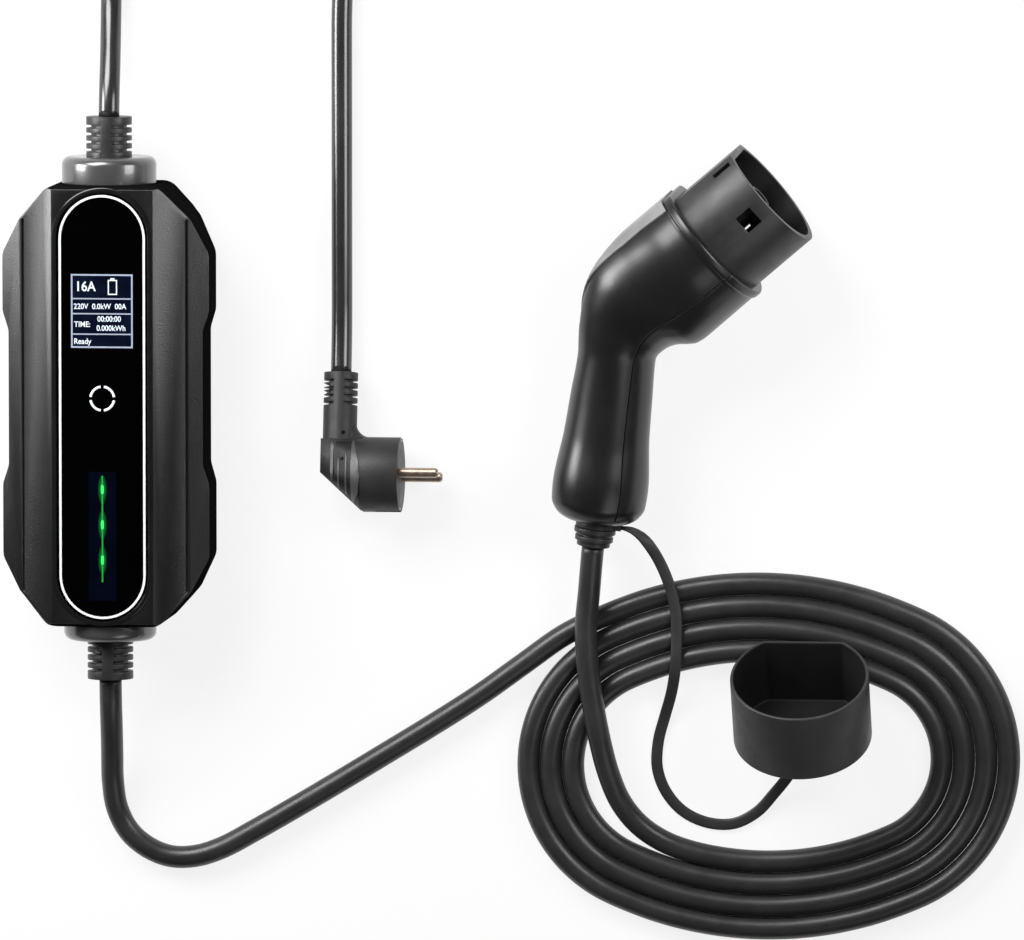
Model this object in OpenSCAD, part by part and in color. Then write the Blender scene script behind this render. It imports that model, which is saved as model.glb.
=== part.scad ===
/* [Control box] */
// Width across the side pads
box_w = 100; // [96:1:110]
// Length between the two end faces
box_l = 212; // [206:1:232]
// Thickness from back to front panel
box_h = 52; // [48:1:60]
// Wall of both half shells
wall = 3; // [2.6:0.1:3.6]
// Half width of the straight part of each end
end_half = 26.5; // [24.5:0.5:30]
// Length that each cut corner takes off the side
corner_l = 33; // [28:1:38]
// Distance that the shoulder of a corner lies inside the side
shoulder_in = 8.5; // [6:0.5:11]
// Step of the grip recess in each side
pad_step = 3; // [1.5:0.5:4]
// Upper end of the grip recess, from the middle
recess_top = 45; // [38:1:55]
// Lower end of the grip recess, from the middle
recess_low = 38; // [30:1:50]
// Half width of the flat face round the glass
face_half = 24.5; // [23.5:0.5:27]
// Distance of the long groove from the middle
groove_x = 39.5; // [36:0.5:42]
// Fall of the front face at the long groove
flank_drop = 9.5; // [6:0.5:12]
// Fall of the front face at the side
side_drop = 13; // [10:0.5:16]
// Half width of the flat back
back_half = 37; // [32:1:40]
// Height of the bevel round the back
back_bevel = 13; // [8:1:15]
// Width and depth of the long grooves
groove_w = 0.9; // [0.6:0.1:1.4]

/* [Front panel] */
// Width of the glass
glass_w = 44; // [40:0.5:46]
// Length of the glass
glass_l = 206; // [190:1:228]
// Thickness of the glass
glass_t = 1.6; // [1:0.1:2]
// Width of the display module
display_w = 31; // [26:1:34]
// Length of the display module
display_l = 39; // [34:1:44]
// Height of the display's middle above the middle of the box
display_y = 46; // [40:1:60]
// Width of the light guide
guide_w = 8; // [5:0.5:12]
// Length of the light guide
guide_l = 60; // [50:1:66]
// Distance of the light guide's middle below the middle of the box
guide_y = 60; // [50:1:64]

/* [Electronics] */
// Width of the circuit board
board_w = 70; // [60:1:74]
// Length of the circuit board
board_l = 150; // [130:1:160]
// Thickness of the circuit board
board_t = 1.6; // [1:0.2:2.4]
// Height of the board's underside above the back
board_z = 10; // [8:0.5:12]
// Radius of the four case screws
screw_r = 1.5; // [1.2:0.1:2]
// Radius of the case screw heads
screw_head_r = 2.9; // [2.6:0.1:3.4]

/* [Cable glands] */
// Diameter of the upper gland flange
top_flange_d = 45.5; // [38:0.5:48]
// Length of the upper gland flange
top_flange_l = 13; // [8:0.5:16]
// Diameter of the lower gland flange
low_flange_d = 44.5; // [38:0.5:48]
// Length of the lower gland flange
low_flange_l = 8; // [5:0.5:12]
// Diameter of the ribbed sleeves on the box
sleeve_d = 22; // [19:0.5:26]
// Length of the ribbed sleeves on the box
sleeve_l = 19; // [15:1:26]

/* [Leads] */
// Diameter of the charging lead
lead_d = 10.5; // [9.5:0.5:11]
// Diameter of the mains lead
mains_d = 10; // [8:0.5:10.5]
// Radius of the coil's ends at its outer turn
coil_end_r = 76; // [72:1:80]
// Distance of the coil's end centres from its middle
coil_e = 45.4; // [40:0.2:50]
// Half angle of the coil's ends
coil_beta = 65; // [60:1:70]
// Gap between two turns of the coil
turn_gap = 0.3; // [0.1:0.1:0.6]

/* [Charging gun] */
// Diameter of the nose
nose_d = 62; // [60:0.5:64]
// Distance of the nose's flat from its axis
nose_flat = 25; // [24:0.5:27]
// Length of the nose in front of the collar
nose_l = 35; // [32:1:38]
// Wall of the nose
nose_wall = 3; // [2.4:0.2:3.6]
// Radius of the collar
collar_r = 35; // [34.5:0.5:38]
// Distance of the collar's flat from its axis
collar_flat = 28.8; // [28.4:0.2:30]
// Half thickness of the handle's waist
waist_r = 18.8; // [17:0.2:21]
// Half thickness of the heel
heel_r = 23; // [21:0.2:25]
// Wall of the gun's housing
gun_wall = 3; // [2.4:0.2:3.4]
// Length of the straight neck behind the collar
neck_l = 40; // [36:1:46]
// Radius of the elbow along its middle line
elbow_r = 50; // [45:1:60]
// Angle of the elbow
elbow_a = 42; // [38:1:50]
// Length of the handle behind the elbow
handle_l = 82; // [75:1:90]
// Direction of the nose on the floor
nose_angle = 40.5; // [35:0.5:45]

/* [Cap and strap] */
// Wall of the rubber cap
cap_wall = 1.8; // [1.5:0.1:2.6]
// Depth of the rubber cap outside
cap_depth = 37; // [36:1:42]
// Slope of the leaning cap above the floor
cap_slope = 33; // [28:1:36]
// Width of the strap
strap_w = 5.5; // [4.5:0.5:7]
// Thickness of the strap
strap_t = 1.8; // [1.2:0.2:2.4]

/* [Mains plug] */
// Diameter of the plug's round face
plug_d = 36; // [35:0.5:40]
// Thickness of the round part
plug_t = 18; // [14:1:22]
// Distance of the lead's axis behind the face
plug_arm_x = 30; // [27:0.5:33]
// Length from the pins' middle to the end of the ribbed sleeve
plug_arm_l = 49; // [46:1:54]
// Diameter of the ribbed sleeve on the plug
plug_sleeve_d = 16.4; // [14:0.2:18]
// Diameter of a plug pin
pin_d = 4.8; // [4:0.1:5]
// Length of a plug pin
pin_l = 19; // [16:0.5:20]
// Distance between the two pins
pin_pitch = 19; // [18:0.5:20]

/* [Hidden] */
$fn = 48;

fit_gap = 0.1;
skin = 0.02;
half_w = box_w / 2;
half_l = box_l / 2;
split_z = box_h / 2;
corner_round = 9;
face_end = 1.7;
face_end_drop = 4;
seal_w = 1.2;
seal_h = 0.8;
hole_r = 12;
lip_r = 14;
lip_t = 1.5;
boss_r = 4.6;
boss_x = 33;
boss_y = 70;
screw_sink = 6;
screw_reach = 10;
black = [0.09, 0.09, 0.1];
soft_black = [0.13, 0.13, 0.13];
steel = [0.72, 0.7, 0.66];
copper = [0.8, 0.55, 0.3];

// Moves every edge of a closed outline inwards by one distance
function edge_normal(a, b) = [b[1] - a[1], a[0] - b[0]] / norm(b - a);
function inset(points, distance) = let (n = len(points)) [
  for (i = [0:n - 1])
    let (
      before = edge_normal(points[(i + n - 1) % n], points[i]),
      after = edge_normal(points[i], points[(i + 1) % n])
    )
    points[i] - distance * (before + after) / (1 + before * after)
];

// Rounds every corner of an outline with an arc of one radius
function unit(v) = v / norm(v);
function turn(a, b) = atan2(a[0] * b[1] - a[1] * b[0], a * b);
function rounded(points, radius, steps = 4) = let (n = len(points)) [
  for (i = [0:n - 1])
    let (
      back = unit(points[(i + n - 1) % n] - points[i]),
      ahead = unit(points[(i + 1) % n] - points[i]),
      half = acos(back * ahead) / 2,
      centre = points[i] + unit(back + ahead) * radius / sin(half),
      from = points[i] + back * radius / tan(half) - centre,
      to = points[i] + ahead * radius / tan(half) - centre,
      sweep = turn(from, to)
    )
    for (k = [0:steps])
      let (a = sweep * k / steps)
      centre + [from[0] * cos(a) - from[1] * sin(a), from[0] * sin(a) + from[1] * cos(a)]
];

// Outline of the box seen from the front, anticlockwise from the lower right corner
box_side = [
  [end_half, -half_l],
  [half_w - shoulder_in, -half_l + corner_l / 2],
  [half_w, -half_l + corner_l],
  [half_w, -recess_low],
  [half_w - pad_step, -recess_low + 3 * pad_step],
  [half_w - pad_step, recess_top - 3 * pad_step],
  [half_w, recess_top],
  [half_w, half_l - corner_l],
  [half_w - shoulder_in, half_l - corner_l / 2],
  [end_half, half_l],
];
box_outline = concat(box_side, [for (i = [len(box_side) - 1:-1:0]) [-box_side[i][0], box_side[i][1]]]);

module box_blank(distance, low, high) {
  translate([0, 0, low])
    linear_extrude(high - low)
      polygon(rounded(inset(box_outline, distance), corner_round - distance));
}

// Slab along the length of the box whose section is given as x and z
module along_length(section) {
  rotate([90, 0, 0])
    linear_extrude(box_l + 2, center = true)
      polygon(section);
}

// Slab across the width of the box whose section is given as y and z
module across_width(section) {
  rotate([90, 0, 90])
    linear_extrude(box_w + 2, center = true)
      polygon(section);
}

front_section = [
  [half_w + 1, split_z - 1],
  [half_w + 1, box_h - side_drop],
  [groove_x, box_h - flank_drop],
  [face_half, box_h],
  [-face_half, box_h],
  [-groove_x, box_h - flank_drop],
  [-half_w - 1, box_h - side_drop],
  [-half_w - 1, split_z - 1],
];
front_ends = [
  [half_l + 1, split_z - 1],
  [half_l + 1, box_h - face_end_drop],
  [half_l, box_h - face_end_drop],
  [half_l - face_end, box_h],
  [-half_l + face_end, box_h],
  [-half_l, box_h - face_end_drop],
  [-half_l - 1, box_h - face_end_drop],
  [-half_l - 1, split_z - 1],
];
rear_section = [
  [half_w, back_bevel],
  [half_w + 1, back_bevel],
  [half_w + 1, split_z + 1],
  [-half_w - 1, split_z + 1],
  [-half_w - 1, back_bevel],
  [-half_w, back_bevel],
  [-back_half, 0],
  [back_half, 0],
];

module front_form(distance, drop) {
  intersection() {
    box_blank(distance, split_z, box_h);
    translate([0, 0, -drop]) along_length(front_section);
    translate([0, 0, -drop]) across_width(front_ends);
  }
}

module rear_form(distance, rise) {
  intersection() {
    box_blank(distance, 0, split_z);
    translate([0, 0, rise]) along_length(rear_section);
  }
}

module stadium(w, l) {
  union() {
    square([w, l - w], center = true);
    for (side = [-1, 1])
      translate([0, side * (l - w) / 2]) circle(d = w);
  }
}

module at_case_screws() {
  for (x = [-boss_x, boss_x], y = [-boss_y, boss_y])
    translate([x, y, 0]) children();
}

module gland_hole() {
  translate([0, 0, split_z])
    rotate([90, 0, 0])
      cylinder(r = hole_r + fit_gap, h = box_l + 2, center = true);
}

module seal_ring(low, high, spare) {
  difference() {
    box_blank((wall - seal_w) / 2 - spare, low, high);
    box_blank((wall + seal_w) / 2 + spare, low - 1, high + 1);
  }
}

standoff_r = 3.6;
standoff_x = board_w / 2 - 5;
standoff_y = board_l / 2 - 22;
module at_standoffs() {
  for (x = [-standoff_x, standoff_x], y = [-standoff_y, standoff_y])
    translate([x, y, 0]) children();
}
board_screw_r = 1.2;
board_screw_head_r = 2.4;
board_screw_head_h = 1.6;
board_screw_l = 5;

module rear_shell() {
  color(black) difference() {
    union() {
      difference() {
        rear_form(0, 0);
        rear_form(wall, wall);
      }
      intersection() {
        rear_form(0, 0);
        at_case_screws() cylinder(r = boss_r, h = split_z);
      }
      at_standoffs() translate([0, 0, wall / 2]) cylinder(r = standoff_r, h = board_z - wall / 2);
    }
    at_case_screws() {
      translate([0, 0, -1]) cylinder(r = screw_head_r + fit_gap, h = screw_sink + 1);
      translate([0, 0, -1]) cylinder(r = screw_r + fit_gap, h = split_z + 2);
    }
    at_standoffs()
      translate([0, 0, board_z - board_screw_l]) cylinder(r = board_screw_r + fit_gap, h = board_screw_l + 1);
    gland_hole();
    seal_ring(split_z - seal_h, split_z + 1, 0);
  }
}

display_t = 6;
guide_t = 5;
module front_shell() {
  color(black) difference() {
    union() {
      difference() {
        front_form(0, 0);
        front_form(wall, wall);
      }
      intersection() {
        front_form(0, 0);
        at_case_screws() translate([0, 0, split_z]) cylinder(r = boss_r, h = box_h);
      }
    }
    at_case_screws()
      translate([0, 0, split_z - 1]) cylinder(r = screw_r + fit_gap, h = screw_reach + 2);
    gland_hole();
    seal_ring(split_z - 1, split_z + seal_h, 0);
    translate([0, 0, box_h - glass_t]) linear_extrude(glass_t + 1)
      stadium(glass_w + 2 * fit_gap, glass_l + 2 * fit_gap);
    translate([0, display_y, box_h - wall])
      cube([display_w + 2 * fit_gap, display_l + 2 * fit_gap, 3 * wall], center = true);
    translate([0, -guide_y, box_h - wall])
      cube([guide_w + 2 * fit_gap, guide_l + 2 * fit_gap, 3 * wall], center = true);
    for (side = [-1, 1])
      translate([side * groove_x, 0, box_h - flank_drop])
        cube([groove_w, box_l - corner_l, 2 * groove_w], center = true);
  }
}

module shell_seal() {
  color(soft_black) difference() {
    seal_ring(split_z - seal_h, split_z + seal_h, 0);
    gland_hole();
  }
}

module shell_screws() {
  color(steel) at_case_screws() {
    translate([0, 0, screw_sink - 2.4]) cylinder(r = screw_head_r, h = 2.4);
    translate([0, 0, screw_sink - 0.5]) cylinder(r = screw_r, h = split_z + screw_reach - screw_sink);
  }
}

module front_glass() {
  color([0.02, 0.02, 0.02]) translate([0, 0, box_h - glass_t])
    linear_extrude(glass_t) stadium(glass_w, glass_l);
}

module display_module() {
  color([0.05, 0.07, 0.12]) translate([-display_w / 2, display_y - display_l / 2, box_h - glass_t - display_t])
    cube([display_w, display_l, display_t]);
}

module light_guide() {
  color([0.2, 0.8, 0.3]) translate([-guide_w / 2, -guide_y - guide_l / 2, box_h - glass_t - guide_t])
    cube([guide_w, guide_l, guide_t]);
}

module circuit_board() {
  color([0.05, 0.3, 0.15]) difference() {
    translate([-board_w / 2, -board_l / 2, board_z]) cube([board_w, board_l, board_t]);
    at_case_screws() translate([0, 0, board_z - 1]) cylinder(r = boss_r + 1, h = board_t + 2);
    at_standoffs() translate([0, 0, board_z - 1]) cylinder(r = board_screw_r + fit_gap, h = board_t + 2);
  }
}

module board_screws() {
  color(steel) at_standoffs() translate([0, 0, board_z + board_t]) {
    cylinder(r = board_screw_head_r, h = board_screw_head_h);
    translate([0, 0, -board_t - board_screw_l + 1]) cylinder(r = board_screw_r, h = board_t + board_screw_l);
  }
}

part_z = board_z + board_t;
module on_board(x, y) {
  translate([x, y, part_z]) children();
}

relay_w = 20;
relay_l = 30;
relay_h = 18;
module relay() {
  color([0.1, 0.1, 0.12]) on_board(-board_w / 2 + 24, 6)
    linear_extrude(relay_h)
      polygon(rounded([[-relay_w, -relay_l] / 2, [relay_w, -relay_l] / 2, [relay_w, relay_l] / 2,
        [-relay_w, relay_l] / 2], 1.5));
}

module mains_choke() {
  choke_r = 12;
  color(copper) on_board(10, -20) difference() {
    cylinder(r = choke_r, h = 12);
    translate([0, 0, -1]) cylinder(r = choke_r / 2, h = 14);
  }
}

module supply_transformer() {
  core_w = 26;
  core_l = 22;
  color([0.75, 0.7, 0.3]) on_board(14, 12) {
    translate([-core_w / 2, -core_l / 2, 0]) cube([core_w, core_l, 6]);
    translate([-core_w / 2 + 4, -core_l / 2, 6]) cube([core_w - 8, core_l, 10]);
    translate([-core_w / 2, -core_l / 2, 16]) cube([core_w, core_l, 4]);
  }
}

module capacitors() {
  color([0.15, 0.18, 0.4]) for (i = [0:2])
    on_board(-18 + 13 * i, -45) cylinder(r = 5.5, h = 18);
}

module terminal_block() {
  block_w = 36;
  block_l = 12;
  block_h = 13;
  color([0.2, 0.5, 0.35]) on_board(0, board_l / 2 - 12) difference() {
    translate([-block_w / 2, -block_l / 2, 0]) cube([block_w, block_l, block_h]);
    for (i = [-1:1])
      translate([i * 11, 0, block_h - 7]) {
        cylinder(r = 2.6, h = 8);
        rotate([-90, 0, 0]) cylinder(r = 2.2, h = block_l);
      }
  }
}

// Stands on an end face of the box with the local z pointing away from it
module at_end(side) {
  translate([0, side * half_l, split_z]) rotate([-90 * side, 0, 0]) children();
}

flange_round = 4;
socket_depth = 3;
sleeve_root = 8;
module flange(d, l, bulge) {
  difference() {
    rotate_extrude($fn = 64) difference() {
      union() {
        square([d / 2, l - bulge]);
        translate([0, l - bulge]) square([d / 2 - bulge, bulge]);
        translate([d / 2 - bulge, l - bulge]) intersection() {
          circle(r = bulge);
          square(bulge);
        }
        translate([0, -wall - lip_t]) square([hole_r, wall + lip_t]);
        translate([0, -wall - lip_t - fit_gap]) square([lip_r, lip_t]);
      }
      translate([-d, -d]) square([d, 3 * d]);
    }
    translate([0, 0, l - socket_depth]) cylinder(r = sleeve_root + fit_gap, h = socket_depth + 1);
  }
}

// Ribbed bend sleeve with a root that sits in its socket and a bridge of rubber on two sides
rib_count = 5;
module sleeve(d, l, lead, root) {
  pitch = l / rib_count;
  translate([0, 0, -root]) cylinder(r = sleeve_root, h = root + 0.5);
  cylinder(r = d / 2 - 2.4, h = l);
  for (i = [0:rib_count - 1])
    translate([0, 0, i * pitch]) cylinder(r = d / 2, h = pitch * 0.58);
  intersection() {
    cylinder(r = d / 2, h = l);
    translate([-lead / 4, -d / 2, 0]) cube([lead / 2, d, l]);
  }
  translate([0, 0, l - pitch * 0.5]) cylinder(r = d / 2, h = pitch * 0.5);
}

module top_flange() {
  color(soft_black) at_end(1) flange(top_flange_d, top_flange_l, flange_round);
}

module top_sleeve() {
  color(soft_black) at_end(1) translate([0, 0, top_flange_l]) sleeve(sleeve_d, sleeve_l, mains_d, socket_depth);
}

module low_flange() {
  color(soft_black) at_end(-1) flange(low_flange_d, low_flange_l, flange_round);
}

module low_sleeve() {
  color(soft_black) at_end(-1) translate([0, 0, low_flange_l]) sleeve(sleeve_d, sleeve_l, lead_d, socket_depth);
}

// Sweeps a section along a route; the first and last directions are given
function section_ring(w, t, sides) = [
  for (i = [0:sides - 1]) let (a = 90 + 360 * (i + 0.5) / sides) [w / 2 * cos(a), t / 2 * sin(a)] / cos(180 / sides)
];
module tube(route, first, last, section, roll = 0) {
  n = len(route);
  m = len(section);
  directions = [
    for (i = [0:n - 1])
      i == 0 ? unit(first) : i == n - 1 ? unit(last) : unit(unit(route[i + 1] - route[i]) + unit(route[i] - route[i - 1]))
  ];
  points = [
    for (i = [0:n - 1])
      let (
        side = unit(cross(directions[i], [0, 0, 1])),
        up = cross(side, directions[i]),
        a = roll * max(0, 1 - i / 3)
      )
      for (p = section)
        route[i] + side * (p[0] * cos(a) - p[1] * sin(a)) + up * (p[0] * sin(a) + p[1] * cos(a))
  ];
  walls = [
    for (i = [0:n - 2], j = [0:m - 1])
      let (a = i * m + j, b = i * m + (j + 1) % m)
      each [[a, b, b + m], [a, b + m, a + m]]
  ];
  start_face = [for (j = [m - 1:-1:0]) j];
  end_face = [for (j = [0:m - 1]) (n - 1) * m + j];
  polyhedron(points, concat([start_face, end_face], walls));
}
function round_section(d) = section_ring(d, d, 12);

// The coil is a string of arcs, four to a turn, each a quarter of a turn's pitch smaller than the last
coil_x = 312.5;
coil_y = -172;
turn_pitch = lead_d + turn_gap;
side_r = coil_end_r + coil_e / cos(coil_beta);
arc_count = 14;
leave_a = 40;
function direction(a) = [cos(a), sin(a)];
function arc_r(k) = (k % 2 == 0 ? side_r : coil_end_r) - k * turn_pitch / 4;
function arc_turn(k) = k % 2 == 0 ? 180 - 2 * coil_beta : 2 * coil_beta;
function arc_start(k) = k == 0 ? 180 - coil_beta : arc_start(k - 1) - arc_turn(k - 1);
function arc_centre(k) = k == 0
  ? [coil_x, coil_y - coil_e * tan(coil_beta)]
  : arc_centre(k - 1) + (arc_r(k - 1) - arc_r(k)) * direction(arc_start(k));
function coil_point(k, a) = concat(arc_centre(k) + arc_r(k) * direction(arc_start(k) - a), [lead_d / 2]);
function coil_heading(k, a) = [sin(arc_start(k) - a), -cos(arc_start(k) - a), 0];

module coil_band(k, strands) {
  inner = (strands - 1) * turn_pitch;
  translate(arc_centre(k)) rotate([0, 0, arc_start(k) - arc_turn(k)])
    rotate_extrude(angle = arc_turn(k), $fn = 72) {
      translate([arc_r(k) - inner, 0]) square([inner, lead_d]);
      for (x = [0, inner])
        translate([arc_r(k) - x, lead_d / 2]) circle(d = lead_d, $fn = 16);
    }
}

module charge_coil() {
  color(black) for (k = [0:3])
    coil_band(k, floor((arc_count - 1 - k) / 4) + 1);
}

// Routes of the leads and the strap between their two fixed ends
lead_z = lead_d / 2;
mains_z = mains_d / 2;
low_exit = [0, -half_l - low_flange_l - sleeve_l, split_z];
charge_route = [
  [0, -145, 25], [-0.3, -158, 20.5], [-0.9, -171, 14.5], [-1.4, -184, 9.4], [0.3, -198, 6.4],
  [5.8, -209.2, lead_z], [15.2, -217.2, lead_z], [26.6, -221.4, lead_z], [38.8, -221, lead_z],
  [51.5, -216.8, lead_z], [67.7, -208, lead_z], [89, -195.6, lead_z], [111, -182.4, lead_z],
  [133, -168.9, lead_z], [155, -155.3, lead_z], [177, -141, lead_z], [198, -125.8, lead_z],
  [217.4, -111.9, lead_z],
];
module charge_lead() {
  color(black) tube(concat([low_exit], charge_route, [coil_point(0, 0)]),
    [0, -1, 0], coil_heading(0, 0), round_section(lead_d));
}

top_exit = [0, half_l + top_flange_l + sleeve_l, split_z];
mains_route = [
  [0, 150, 24.5], [-0.3, 163, 19.5], [-0.9, 176, 13.2], [-1.4, 189, 8], [-1.6, 202, 5.3], [-1.6, 213, mains_z],
  [2.6, 234.4, mains_z], [14.8, 252.4, mains_z], [32.8, 264.6, mains_z], [54.2, 268.8, mains_z],
  [75.6, 264.6, mains_z], [93.6, 252.4, mains_z], [105.8, 234.4, mains_z], [110, 213, mains_z],
  [110, 180, mains_z], [110, 147, mains_z], [110, 114, mains_z], [110, 81, mains_z],
  [110, 46, mains_z], [110, 31, 5.9],
];
module mains_lead() {
  color(black) tube(concat([top_exit], mains_route, [plug_exit]),
    [0, 1, 0], -plug_out, round_section(mains_d));
}

// The plug lies on the rim of its round face with its arm sloping down to the floor
plug_x = 140;
plug_y = -34;
plug_sleeve_l = 18;
plug_tilt = asin((plug_d - plug_sleeve_d - 0.6) / 2 / plug_arm_l);
plug_out = [0, cos(plug_tilt), -sin(plug_tilt)];
plug_exit = [plug_x - plug_arm_x, plug_y, plug_d / 2] + plug_arm_l * plug_out;
module plug_place() {
  translate([plug_x, plug_y, plug_d / 2]) rotate([-plug_tilt, 0, 0]) children();
}
pin_root_d = pin_d - 1.2;
pin_root_l = 10;
pin_undercut = 0.4;
pin_point_l = 1;
strip_w = 5;
strip_t = 1;
strip_l = 12;

module plug_body() {
  arm_r = plug_sleeve_d / 2;
  rear_x = -plug_arm_x - arm_r;
  color(black) plug_place() difference() {
    union() {
      rotate([0, -90, 0]) cylinder(d = plug_d, h = plug_t, $fn = 64);
      hull() {
        translate([-plug_t, 0, 0]) rotate([0, -90, 0]) cylinder(d = plug_d - 1, h = 1, $fn = 32);
        translate([rear_x, 0, -arm_r]) cube([8, arm_r * 2, arm_r * 2]);
      }
      translate([-plug_arm_x, 0, 0]) rotate([-90, 0, 0]) cylinder(r = arm_r, h = plug_arm_l - plug_sleeve_l);
      translate([-plug_arm_x, plug_arm_l - plug_sleeve_l, 0]) rotate([-90, 0, 0])
        sleeve(plug_sleeve_d, plug_sleeve_l, mains_d, 1);
    }
    for (side = [-1, 1]) {
      translate([-pin_root_l, 0, side * pin_pitch / 2]) rotate([0, 90, 0])
        cylinder(d = pin_root_d + 2 * fit_gap, h = pin_l);
      translate([-strip_l, side * (plug_d / 2 - strip_t) - strip_t, -strip_w / 2 - fit_gap])
        cube([strip_l + 1, 2 * strip_t, strip_w + 2 * fit_gap]);
    }
  }
}

module plug_pins() {
  color(steel) plug_place() for (side = [-1, 1])
    translate([0, 0, side * pin_pitch / 2]) rotate([0, 90, 0]) {
      translate([0, 0, -pin_root_l]) cylinder(d = pin_root_d, h = pin_root_l + pin_l / 2);
      translate([0, 0, pin_undercut]) cylinder(d = pin_d, h = pin_l - pin_undercut - pin_point_l);
      translate([0, 0, pin_l - pin_point_l]) cylinder(d1 = pin_d, d2 = pin_d - 1.6, h = pin_point_l);
    }
}

module plug_earth_strips() {
  color(steel) plug_place() for (side = [-1, 1])
    translate([-strip_l, side * (plug_d / 2 - 1.5 * strip_t) - strip_t / 2, -strip_w / 2])
      cube([strip_l, strip_t, strip_w]);
}

// The gun lies on its side, resting on the collar and the heel, so its middle plane is tilted
gun_x = 292.7;
gun_y = 83.2;
elbow_run = elbow_r * elbow_a * PI / 180;
heel_s = neck_l + elbow_run + handle_l - 16;
gun_l = neck_l + elbow_run + handle_l;
function spine(s) = s <= neck_l
  ? [-s, 0]
  : s <= neck_l + elbow_run
  ? let (a = (s - neck_l) / elbow_run * elbow_a) [-neck_l - elbow_r * sin(a), -elbow_r * (1 - cos(a))]
  : spine(neck_l + elbow_run) + (s - neck_l - elbow_run) * [-cos(elbow_a), -sin(elbow_a)];
function spine_a(s) = min(max((s - neck_l) / elbow_run, 0), 1) * elbow_a;
heel_way = -unit(spine(heel_s));
gun_tilt = asin((collar_r - heel_r) / norm(spine(heel_s)));
module gun_place() {
  translate([gun_x, gun_y, collar_r]) rotate([0, 0, nose_angle])
    rotate(a = -gun_tilt, v = [-heel_way[1], heel_way[0], 0]) children();
}

// Half depth, half thickness and distance of the flat along the gun, from the collar to the heel
end_r = 11;
depth_table = [
  [0, collar_r - 0.8], [1, collar_r], [3.6, collar_r], [5, collar_r - 0.8], [neck_l - 6, collar_r - 0.6],
  [neck_l + 6, collar_r - 3], [neck_l + 17, collar_r - 8.4], [neck_l + 26, waist_r + 3.6],
  [neck_l + 38, waist_r], [neck_l + 56, waist_r + 0.8], [neck_l + 76, waist_r + 1.8],
  [gun_l - 17, heel_r], [gun_l - 9, heel_r - 0.4], [gun_l - 4, heel_r - 3], [gun_l - 1, heel_r - 7.5],
  [gun_l, end_r],
];
side_table = [
  [0, collar_r - 0.8], [1, collar_r], [3.6, collar_r], [5, collar_r - 0.8], [14, collar_r - 0.8],
  [neck_l - 6, collar_r - 4.4], [neck_l + 6, collar_r - 7], [neck_l + 17, collar_r - 10.4],
  [neck_l + 26, waist_r + 3], [neck_l + 38, waist_r + 0.8], [neck_l + 56, waist_r + 0.4],
  [neck_l + 76, waist_r + 1],
  [gun_l - 17, heel_r], [gun_l - 9, heel_r - 0.4], [gun_l - 4, heel_r - 3], [gun_l - 1, heel_r - 7.5],
  [gun_l, end_r],
];
flat_table = [
  [0, collar_flat - 0.6], [1, collar_flat], [neck_l - 6, collar_flat], [neck_l + 6, collar_flat - 2],
  [neck_l + 17, collar_flat - 5.4], [neck_l + 26, collar_flat - 8.6], [neck_l + 38, waist_r - 0.6],
  [neck_l + 64, waist_r + 2], [gun_l, heel_r + 10],
];
stations = [
  0, 1, 3.6, 5, 14, 24, neck_l - 4, neck_l + 6, neck_l + 12, neck_l + 18, neck_l + 24, neck_l + 30, neck_l + 36,
  neck_l + 42, neck_l + 52, neck_l + 64, neck_l + 78, gun_l - 26, gun_l - 17, gun_l - 9, gun_l - 4, gun_l - 1, gun_l,
];

// Distance from the spine to the skin at an angle from the back of the gun
function skin_r(s, a) =
  let (
    d = lookup(s, depth_table),
    t = lookup(s, side_table),
    f = lookup(s, flat_table),
    oval = 1 / sqrt(pow(cos(a) / d, 2) + pow(sin(a) / t, 2))
  )
  cos(a) > 0.05 ? min(oval, f / cos(a)) : oval;
function skin_point(s, a, depth) =
  let (r = skin_r(s, a) - depth, way = 90 + spine_a(s), c = spine(s))
  [c[0] + r * cos(a) * cos(way), c[1] + r * cos(a) * sin(way), r * sin(a)];

// Shell piece of the gun between two angles and two depths under the skin
module gun_strip(places, from, to, outer, inner, steps) {
  ring = [
    for (s = places)
      concat(
        [for (i = [0:steps]) skin_point(s, from + (to - from) * i / steps, outer)],
        [for (i = [steps:-1:0]) skin_point(s, from + (to - from) * i / steps, inner)]
      )
  ];
  m = 2 * (steps + 1);
  n = len(places);
  walls = [
    for (i = [0:n - 2], j = [0:m - 1])
      let (a = i * m + j, b = i * m + (j + 1) % m)
      each j <= steps ? [[a, b + m, b], [a, a + m, b + m]] : [[a, a + m, b], [a + m, b + m, b]]
  ];
  front = [for (i = [0:steps - 1]) each [[i, i + 1, m - 2 - i], [i, m - 2 - i, m - 1 - i]]];
  rear = [for (f = front) [f[2], f[1], f[0]] + [1, 1, 1] * (n - 1) * m];
  polyhedron([for (r = ring) each r], concat(front, rear, walls));
}

half_turn = 180;
grip_a = 58;
seam_a = 0.5;
skin_steps = 14;
skin_step = (half_turn - grip_a) / skin_steps;
plate_steps = 6;
plate_t = 1;
plate_end = neck_l + 38;
module gun_housing() {
  color(black) gun_place() gun_strip(stations, grip_a - half_turn, half_turn - grip_a, 0, gun_wall, 2 * skin_steps);
}

module grip_panel() {
  color(soft_black) gun_place()
    gun_strip(stations, half_turn - grip_a + seam_a, half_turn + grip_a - seam_a, 0, gun_wall, skin_steps);
}

module top_plate() {
  places = [for (s = stations) if (s > 4 && s < plate_end) s];
  color(soft_black) gun_place()
    gun_strip(places, -plate_steps * skin_step, plate_steps * skin_step, -plate_t, -skin, 2 * plate_steps);
}

module gun_end_place() {
  gun_place() translate(spine(gun_l)) rotate([0, 0, elbow_a]) rotate([0, -90, 0]) children();
}

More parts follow.
